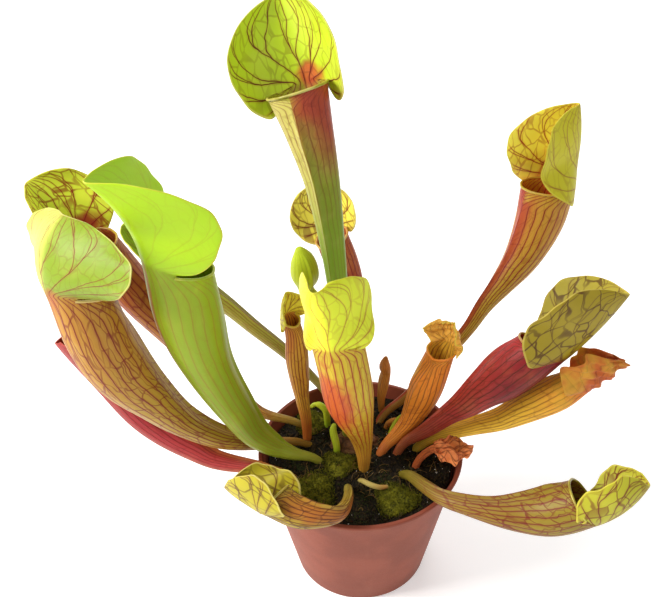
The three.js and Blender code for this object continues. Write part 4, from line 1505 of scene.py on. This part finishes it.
    def hood_places(self, leaf: Leaf, s: Array, v: Array) -> tuple[Array, Array]:
        """Places on a hood.

        Args:
            leaf: the pitcher.
            s: from -1 at one edge over the keel to 1 at the other.
            v: from 0 at the neck to 1 at the tip.

        Returns:
            Places in millimetres, and the length of the half section at each.
        """
        hood = leaf.hood
        f = spine_frame(leaf, np.array([1.0]))
        origin, radius, axis, inward, side = f.place[0], f.radius[0], f.along[0], f.front[0], f.side[0]
        keel = self.keel(hood, f, v)
        start = origin - inward * radius + axis * leaf.mouth
        lean = np.radians(hood.lean) * np.maximum(v - 0.5 / HOOD_ROWS, 0)
        along = np.cos(lean)[:, None] * axis + np.sin(lean)[:, None] * inward
        front = np.cos(lean)[:, None] * inward - np.sin(lean)[:, None] * axis
        share = (v * HOOD_ROWS - 1) / (HOOD_ROWS - 1)
        turn_round = np.radians(LOBE_ANGLE + (TIP_ANGLE - LOBE_ANGLE) * share)
        middle, reach = (hood.length - hood.lobe) / 2, (hood.length + hood.lobe) / 2
        edge = middle + reach * np.sin(turn_round) - hood.length * v
        free = ease(v * 2.2)
        length = np.maximum(NECK * radius * (1 - v), hood.width * np.maximum(np.cos(turn_round), 0) ** 0.8)
        u = np.abs(s)
        x, y = self.section(hood, u, length, free)
        wave = hood.wave * np.sin(v * 13) * u**3 * np.sign(s) + 0.5 * np.sin(v * 37 + s * 3) * u**6
        folds = np.sin(v * 19 + s * 7) + 0.6 * np.sin(v * 33 - s * 13 + 1.0) + 0.4 * np.sin(v * 9 - s * 21)
        wave += self.dry_folds * FINISHES[leaf.look].dryness * folds * np.minimum(v * 2, 1)
        free_place = (start + keel + side * (x * np.sign(s))[:, None] + front * (y + wave)[:, None]
                      + along * (edge * u * u)[:, None])
        held = self.ring(leaf, np.ones(len(s)), s * NECK) + keel
        weight = ease(v * HOOD_ROWS)[:, None]
        return held * (1 - weight) + free_place * weight, length

    def hood(self, leaf: Leaf) -> bpy.types.Object:
        """The hood of a pitcher as an open sheet.

        Args:
            leaf: the pitcher.

        Returns:
            The hood with its maps, faces outwards.
        """
        columns = 2 * self.neck_columns
        piece = Workbench.grid(leaf.name + "_hood", columns, self.hood_rows)
        uv = Workbench.places(piece)
        s, v = uv[:, 0] * 2 - 1, uv[:, 1]
        places, length = self.hood_places(leaf, s, v)
        Workbench.move_to(piece, places * MM)
        skin = s * length * SKIN_PER_MM, (spine_length(leaf) + v * leaf.hood.length) * SKIN_PER_MM
        near = np.minimum((1 - np.abs(s)) * length, (1 - v) * leaf.hood.length)
        self.map_leaf(piece, (s, 1 + v), skin, length, np.where(v < 0.02, 3.0, near))
        f = spine_frame(leaf, np.array([1.0]))
        behind = piece.data.polygons[columns // 2 + columns * 2]
        if np.dot(np.array(behind.normal), f.front[0]) > 0:
            Workbench.flip(piece)
        return piece

    def lip(self, leaf: Leaf) -> bpy.types.Object:
        """The rolled lip round the front of a mouth.

        Args:
            leaf: the pitcher.

        Returns:
            The lip.
        """
        angle = np.linspace(NECK - self.lip_overlap, TURN - NECK + self.lip_overlap, self.lip_points)
        places = self.ring(leaf, np.full(len(angle), 1.0), angle, 0.1)
        return Workbench.wire(leaf.name + "_lip", [places], self.lip_radius, 3, capped=True)

    def pitcher(self, leaf: Leaf) -> None:
        """Builds one open pitcher and hands it over.

        Args:
            leaf: the pitcher.
        """
        piece = Workbench.join([self.tube(leaf), self.hood(leaf)])
        skins = self.finisher.leaf(leaf.look)
        Workbench.dress(piece, skins)
        Workbench.modify(piece, "SOLIDIFY", thickness=self.wall * MM, offset=-1.0, use_even_offset=False,
                         material_offset=len(skins) - 1)
        Workbench.round_off(piece)
        Workbench.finish(piece, None, FINISHES[leaf.look].slot, leaf.name)
        lip = self.lip(leaf)
        Workbench.finish(lip, self.finisher.lip(leaf.look), FINISHES[leaf.look].slot, None)

    def shoot(self, leaf: Leaf) -> None:
        """Builds one closed shoot and hands it over.

        Args:
            leaf: the shoot.
        """
        piece = self.tube(leaf)
        Workbench.close(piece, MERGE, is_outward=False)
        Workbench.round_off(piece)
        Workbench.finish(piece, self.finisher.leaf(leaf.look)[0], FINISHES[leaf.look].slot, leaf.name)

    def withered(self) -> None:
        """Builds the withered leaf: its stalk and a crumpled blade."""
        stalk = self.tube(WITHERED)
        sheet = Workbench.grid("leaf_withered_blade", *self.withered_grid)
        uv = Workbench.places(sheet)
        along, across = uv[:, 0], uv[:, 1] * 2 - 1
        end = np.array(WITHERED.spine[-1][:3])
        outline = np.sin(math.pi * (0.12 + 0.8 * along)) * (1 + 0.2 * np.sin(along * 14))
        crease = np.sin(along * 9 + across * 4) + 0.6 * np.cos(across * 7 - along * 5)
        crease += 0.3 * np.sin(along * 31 + across * 13) + 0.2 * np.sin(across * 29 - along * 17)
        x = end[0] - 2 + self.withered_length * along * (1 - 0.1 * across**2)
        y = end[1] + self.withered_width * across * outline
        sag = 3 * along**2 + 5 * across**2 * outline
        z = end[2] + 1 + self.withered_crumple * crease * 0.5 - sag * 0.6
        Workbench.move_to(sheet, np.stack([x, y, z], axis=1) * MM)
        self.map_leaf(sheet, (across, 1 + along), (across * 0.9, along * 2.1), self.withered_width)
        piece = Workbench.join([stalk, sheet])
        Workbench.modify(piece, "SOLIDIFY", thickness=self.withered_wall * MM, offset=0.0)
        Workbench.round_off(piece)
        Workbench.finish(piece, self.finisher.leaf(WITHERED.look)[0], FINISHES[WITHERED.look].slot, WITHERED.name)

    def build(self) -> None:
        """Builds every leaf."""
        for leaf in PITCHERS:
            self.pitcher(leaf)
        for leaf in SHOOTS:
            self.shoot(leaf)
        self.withered()


# ---- Pot, peat and moss ----


@dataclass
class Pot:
    """The nursery pot: a spun wall with collar, rim and drainage holes."""

    finisher: Finisher
    sides: int = 96
    drain_sides: int = 32
    edge_round: float = 0.25
    sharp_angle: float = math.radians(25)
    smooth_angle: float = math.radians(35)

    def profile(self) -> list[tuple[float, float]]:
        """Radius and height round the wall's section, in millimetres, outer foot first.

        Returns:
            Radius and height of each corner, in order.
        """
        collar, bead, wall = POT_HEIGHT - COLLAR_HEIGHT, POT_HEIGHT - RIM_BEAD, wall_radius
        return [
            (0, 0), (POT_FOOT_RADIUS - 0.8, 0), (wall(0.8), 0.8), (wall(collar), collar),
            (wall(collar) + COLLAR_STEP, collar + 0.8), (wall(bead) + COLLAR_STEP, bead),
            (POT_RIM_RADIUS, bead + 0.6), (POT_RIM_RADIUS, POT_HEIGHT - 0.5), (POT_RIM_RADIUS - 0.5, POT_HEIGHT),
            (wall(POT_HEIGHT) + COLLAR_STEP - POT_WALL, POT_HEIGHT),
            (wall(collar) + COLLAR_STEP - POT_WALL, collar), (wall(collar - 1) - POT_WALL, collar - 1),
            (wall(POT_FLOOR) - POT_WALL, POT_FLOOR), (0, POT_FLOOR),
        ]

    def build(self) -> None:
        """Builds the pot and hands it over."""
        section = [(radius, 0, z) for radius, z in self.profile()]
        piece = Workbench.mesh("nursery_pot", section, [], [(i, i + 1) for i in range(len(section) - 1)])
        with Workbench.editing(piece):
            bpy.ops.mesh.spin(steps=self.sides, angle=TURN, center=(0, 0, 0), axis=(0, 0, 1))
            bpy.ops.mesh.select_all(action="SELECT")
            bpy.ops.mesh.remove_doubles(threshold=MERGE)
            bpy.ops.mesh.normals_make_consistent(inside=False)
        for i in range(DRAIN_HOLES):
            angle = TURN * i / DRAIN_HOLES
            cutter = Workbench.primitive(
                "cutter", bpy.ops.mesh.primitive_cylinder_add, vertices=self.drain_sides, radius=DRAIN_RADIUS * MM,
                depth=POT_FLOOR * 4 * MM,
                location=(DRAIN_RING * MM * math.cos(angle), DRAIN_RING * MM * math.sin(angle), 0))
            Workbench.modify(piece, "BOOLEAN", object=cutter, operation="DIFFERENCE", solver="EXACT")
            bpy.data.objects.remove(cutter)
        Workbench.modify(piece, "BEVEL", width=self.edge_round * MM, segments=2, limit_method="ANGLE",
                         angle_limit=self.sharp_angle)
        Workbench.finish(piece, self.finisher.pot(), "pot_plastic", "pot")
        Workbench.take(piece)
        bpy.ops.object.shade_smooth_by_angle(angle=self.smooth_angle)


@dataclass
class Ground:
    """Peat with its crumbs, grit and fibres, the crown and the moss."""

    finisher: Finisher
    seed: int = 11
    peat_rings: int = 64
    peat_sides: int = 150
    fibre_count: int = 150
    fibre_radius: float = 0.16
    speck_count: int = 5200
    tufts_per_mm: int = 230
    moss_margin: float = 1.5
    tuft_reach: float = 1.18
    cushion_sides: int = 48
    cushion_rings: int = 16
    crown_size: tuple[float, float, float] = (15.0, 10.0, 6.0)
    crown_centre: tuple[float, float, float] = (-3.0, 11.0, 81.5)

    def surface(self) -> None:
        """The peat: a crumbly disc closed down the pot's inner wall."""
        rings, sides = self.peat_rings, self.peat_sides
        piece = Workbench.grid("peat_bed", sides, rings + 2)
        uv = Workbench.places(piece)
        angle = uv[:, 0] * TURN
        row = uv[:, 1] * (rings + 2)
        top = peat_radius(SOIL_LEVEL)
        radius = np.where(row <= rings, top * np.maximum(row, 1e-3) / rings, top)
        x, y = radius * np.cos(angle), radius * np.sin(angle)
        crumb = (0.5 * np.sin(x * 1.7 + 2 * np.sin(y * 0.9)) * np.cos(y * 1.9 + np.sin(x * 0.7))
                 + 0.3 * np.sin(x * 4.1 + y * 2.3) * np.cos(y * 3.7 - x * 1.1))
        crumb *= ease((top - radius) / 4.0)
        z = soil_height(x, y) + crumb * 0.7 - 0.1
        wall = row > rings
        below = np.where(row > rings + 1.5, POT_FLOOR + GAP, POT_HEIGHT - COLLAR_HEIGHT - 1)
        x = np.where(wall, peat_radius(below) * np.cos(angle), x)
        y = np.where(wall, peat_radius(below) * np.sin(angle), y)
        z = np.where(wall, below, z)
        Workbench.move_to(piece, np.stack([x, y, z], axis=1) * MM)
        Workbench.close(piece, PEAT_MERGE)
        Workbench.finish(piece, self.finisher.peat(), "peat", "soil")

    def scatter(self, litter: Litter, seed: int) -> None:
        """Strews small rough lumps over the peat.

        Args:
            litter: what the lumps are.
            seed: start of the seeded rule.
        """
        rng = np.random.default_rng(seed)
        lump = Workbench.primitive("lump", bpy.ops.mesh.primitive_ico_sphere_add, subdivisions=1, radius=1)
        unit = Workbench.places(lump)
        faces = np.array([p.vertices[:] for p in lump.data.polygons])
        bpy.data.objects.remove(lump)
        places, polygons = [], []
        small, large = litter.size
        edge = peat_radius(SOIL_LEVEL) - large - 0.5
        for i in range(litter.count):
            radius = edge * math.sqrt(rng.random())
            angle = rng.random() * TURN
            x, y = radius * math.cos(angle), radius * math.sin(angle)
            scale = small + (large - small) * rng.random() ** 2
            rough = 1 + 0.3 * np.sin(unit @ rng.normal(size=3) * 2.5) + 0.2 * np.sin(unit @ rng.normal(size=3) * 4)
            spin = np.array(Matrix.Rotation(rng.random() * 6.28, 3, "Z"))
            lumpy = (unit * rough[:, None] * np.array([1, 0.6 + 0.4 * rng.random(), litter.flat])) @ spin.T * scale
            centre = np.array([x, y, soil_height(x, y) + scale * litter.flat * 0.35])
            places.append(lumpy + centre)
            polygons.append(faces + i * len(unit))
        piece = Workbench.mesh(litter.name, np.vstack(places), np.vstack(polygons))
        Workbench.finish(piece, self.finisher.mottled(litter.finish), "peat", None)

    def crown(self) -> None:
        """The knobbly rhizome between the stalks."""
        piece = Workbench.primitive("crown", bpy.ops.mesh.primitive_uv_sphere_add, segments=48, ring_count=28,
                                    radius=1)
        p = Workbench.places(piece)
        knob = 1 + 0.08 * np.sin(p[:, 0] * 9 + 1) * np.cos(p[:, 1] * 7) + 0.05 * np.sin(p[:, 2] * 11)
        knob += 0.03 * np.sin(p[:, 0] * 23) * np.sin(p[:, 1] * 19 + 2)
        Workbench.move_to(piece, (p * knob[:, None] * np.array(self.crown_size) + np.array(self.crown_centre)) * MM)
        Workbench.finish(piece, self.finisher.mottled(CROWN_BARK), "crown", "rhizome")

    def cushions(self) -> None:
        """The moss: cushions covered in short pointed leaves."""
        rng = np.random.default_rng(self.seed)
        moss = self.finisher.mottled(MOSS_GREEN)
        for cushion in MOSS:
            piece = Workbench.grid(cushion.name, self.cushion_sides, self.cushion_rings)
            uv = Workbench.places(piece)
            part = uv[:, 1]
            x, y = cushion.spread(part, uv[:, 0] * TURN)
            dome = cushion.height * (1 - part**3) * (1 + 0.22 * np.sin(x * 0.9) * np.cos(y * 0.8))
            bumps = 0.35 * np.sin(x * 2.3 + np.sin(y * 1.7)) * np.cos(y * 2.6)
            z = soil_height(x, y) + 0.3 + dome + bumps * (1 - part)
            Workbench.move_to(piece, np.stack([x, y, z], axis=1) * MM)
            Workbench.close(piece, PEAT_MERGE)
            Workbench.finish(piece, moss, "moss", cushion.name)
            self.tufts(cushion, rng, moss)

    def tuft_mesh(self, name: str, feet: Array, tall: Array, rng: np.random.Generator,
                  material: bpy.types.Material) -> None:
        """Short pointed moss leaves that stand on the given places.

        Args:
            name: the piece's name.
            feet: where they stand, in millimetres, one row each.
            tall: their heights in millimetres.
            rng: the seeded generator.
            material: their material.
        """
        count = len(feet)
        lean = rng.normal(size=(count, 2)) * 0.45 * tall[:, None]
        turn = rng.random(count) * math.pi
        aside = np.stack([np.cos(turn), np.sin(turn), np.zeros(count)], axis=1) * 0.2
        behind = np.stack([-np.sin(turn), np.cos(turn), np.zeros(count)], axis=1) * 0.14
        tips = feet + np.column_stack([lean, tall])
        places = np.stack([feet - aside, feet + aside, feet + behind, tips], axis=1).reshape(-1, 3)
        sides = np.array([(0, 1, 3), (1, 2, 3), (2, 0, 3), (0, 2, 1)])
        faces = (sides[None] + (4 * np.arange(count))[:, None, None]).reshape(-1, 3)
        Workbench.finish(Workbench.mesh(name, places, faces), material, "moss", None)

    def tufts(self, cushion: Cushion, rng: np.random.Generator, material: bpy.types.Material) -> None:
        """Moss leaves over one cushion and a little past its edge.

        Args:
            cushion: the cushion.
            rng: the seeded generator.
            material: the moss leaves' material.
        """
        count = int(cushion.radius * self.tufts_per_mm)
        part, angle = np.sqrt(rng.random(count)) * self.tuft_reach, rng.random(count) * TURN
        x, y = cushion.spread(part, angle)
        inside = np.hypot(x, y) < peat_radius(SOIL_LEVEL) - self.moss_margin
        dome = cushion.height * (1 - np.minimum(part, 1) ** 3) * 0.95
        feet = np.stack([x, y, soil_height(x, y) + 0.2 + dome], axis=1)[inside]
        self.tuft_mesh(cushion.name + "_tufts", feet, (0.8 + 1.5 * rng.random(count))[inside], rng, material)

    def moss_specks(self) -> None:
        """Thin moss and algae scattered over the rest of the peat, in drifts."""
        rng = np.random.default_rng(self.seed + 5)
        count = self.speck_count
        x, y = peat_spots(rng, count, self.moss_margin)
        drift = np.sin(x * 0.16 + 1.3) * np.cos(y * 0.14 - 0.4) + 0.5 * np.sin(x * 0.41 + y * 0.33)
        kept = drift + 0.7 * rng.random(count) > 0.45
        feet = np.stack([x, y, soil_height(x, y) + 0.1], axis=1)[kept]
        tall = (0.5 + 0.9 * rng.random(count))[kept]
        self.tuft_mesh("moss_specks", feet, tall, rng, self.finisher.mottled(SPECK_GREEN))

    def fibres(self) -> None:
        """Dry tan fibres that lie on the peat and stick up a little from it."""
        rng = np.random.default_rng(self.seed + 7)
        lines, points = [], 6
        for _ in range(self.fibre_count):
            reach = (peat_radius(SOIL_LEVEL) - 12.0) * rng.random() ** 0.7
            angle = rng.random() * TURN
            start = np.array([reach * math.cos(angle), reach * math.sin(angle)])
            heading, bend = rng.random() * TURN, rng.normal() * 0.25
            long = 4.0 + 7.0 * rng.random()
            lift = 5.0 * rng.random() ** 2
            line = []
            for k in range(points):
                start = start + np.array([math.cos(heading), math.sin(heading)]) * long / points
                heading += bend
                line.append((*start, soil_height(*start) + 0.3 + lift * math.sin(math.pi * k / (points - 1))))
            lines.append(np.array(line))
        piece = Workbench.wire("peat_fibres", lines, self.fibre_radius, 0, capped=False)
        Workbench.finish(piece, self.finisher.mottled(TAN_FIBRES), "peat", None)

    def build(self) -> None:
        """Builds the ground."""
        self.surface()
        self.crown()
        self.cushions()
        for i, litter in enumerate(LITTER):
            self.scatter(litter, self.seed + i)
        self.moss_specks()
        self.fibres()


# ---- Studio ----


@dataclass(frozen=True)
class Lamp:
    """A square lamp: its place and side in metres, and its power in watts."""

    name: str
    place: tuple[float, float, float]
    side: float
    power: float
    tint: Colour


LAMPS = (
    Lamp("key", (-1.1, -0.25, 1.0), 0.6, 27.0, (1.0, 0.98, 0.94)),
    Lamp("fill", (0.9, -1.1, 1.0), 1.0, 4.0, (0.95, 0.98, 1.0)),
    Lamp("back", (0.0, 1.1, 1.2), 1.0, 9.0, (1.0, 1.0, 1.0)),
)


@dataclass
class Studio:
    """Camera, light and floor, in metres."""

    finisher: Finisher
    eye: tuple[float, float, float] = (0.0, -0.4166, 0.5129)
    down: float = 37.0
    roll: float = -1.51
    yaw: float = -1.92
    focal_pixels: float = 1000.0
    picture_width: float = 665.0
    sensor: float = 36.0
    lit: tuple[float, float, float] = (0.0, 0.0, 0.15)
    floor_size: float = 8.0
    floor_drop: float = 0.0002
    ambient: float = 0.42

    def camera(self) -> None:
        """Sets the camera at the photograph's place."""
        down, roll, yaw = (math.radians(a) for a in (self.down, self.roll, self.yaw))
        ahead = Vector((math.sin(yaw) * math.cos(down), math.cos(yaw) * math.cos(down), -math.sin(down)))
        right = ahead.cross(Vector((0, 0, 1))).normalized()
        up = right.cross(ahead)
        across = math.cos(roll) * right + math.sin(roll) * up
        above = -math.sin(roll) * right + math.cos(roll) * up
        data = bpy.data.cameras.new("camera")
        data.sensor_width = self.sensor
        data.lens = self.sensor * self.focal_pixels / self.picture_width
        data.clip_start = 0.01
        camera = Workbench.add("camera", data)
        turn = Matrix((across, above, -ahead)).transposed().to_4x4()
        camera.matrix_world = Matrix.Translation(self.eye) @ turn
        bpy.context.scene.camera = camera

    def light(self, lamp: Lamp) -> None:
        """Hangs a lamp that looks at the plant.

        Args:
            lamp: the lamp.
        """
        data = bpy.data.lights.new(lamp.name, "AREA")
        data.size = lamp.side
        data.energy = lamp.power
        data.color = lamp.tint
        hung = Workbench.add(lamp.name, data)
        hung.location = lamp.place
        hung.rotation_mode = "QUATERNION"
        hung.rotation_quaternion = (Vector(self.lit) - Vector(lamp.place)).to_track_quat("-Z", "Y")

    def build(self) -> None:
        """Sets up the studio."""
        self.camera()
        for lamp in LAMPS:
            self.light(lamp)
        floor = Workbench.primitive("floor", bpy.ops.mesh.primitive_plane_add, size=self.floor_size,
                                    location=(0, 0, -self.floor_drop))
        Workbench.dress(floor, [self.finisher.floor()])
        world = bpy.data.worlds.new("studio")
        world.use_nodes = True
        background = world.node_tree.nodes["Background"].inputs
        background["Color"].default_value = (1, 1, 1, 1)
        background["Strength"].default_value = self.ambient
        bpy.context.scene.world = world
        bpy.context.scene.view_settings.view_transform = "Standard"


def main() -> None:
    """Builds the plant and its studio."""
    logging.basicConfig(level=logging.INFO, format="%(message)s")
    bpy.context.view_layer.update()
    finisher = Finisher()
    Studio(finisher).build()
    Pot(finisher).build()
    Ground(finisher).build()
    LeafMaker(finisher).build()


if __name__ == "__main__":
    main()
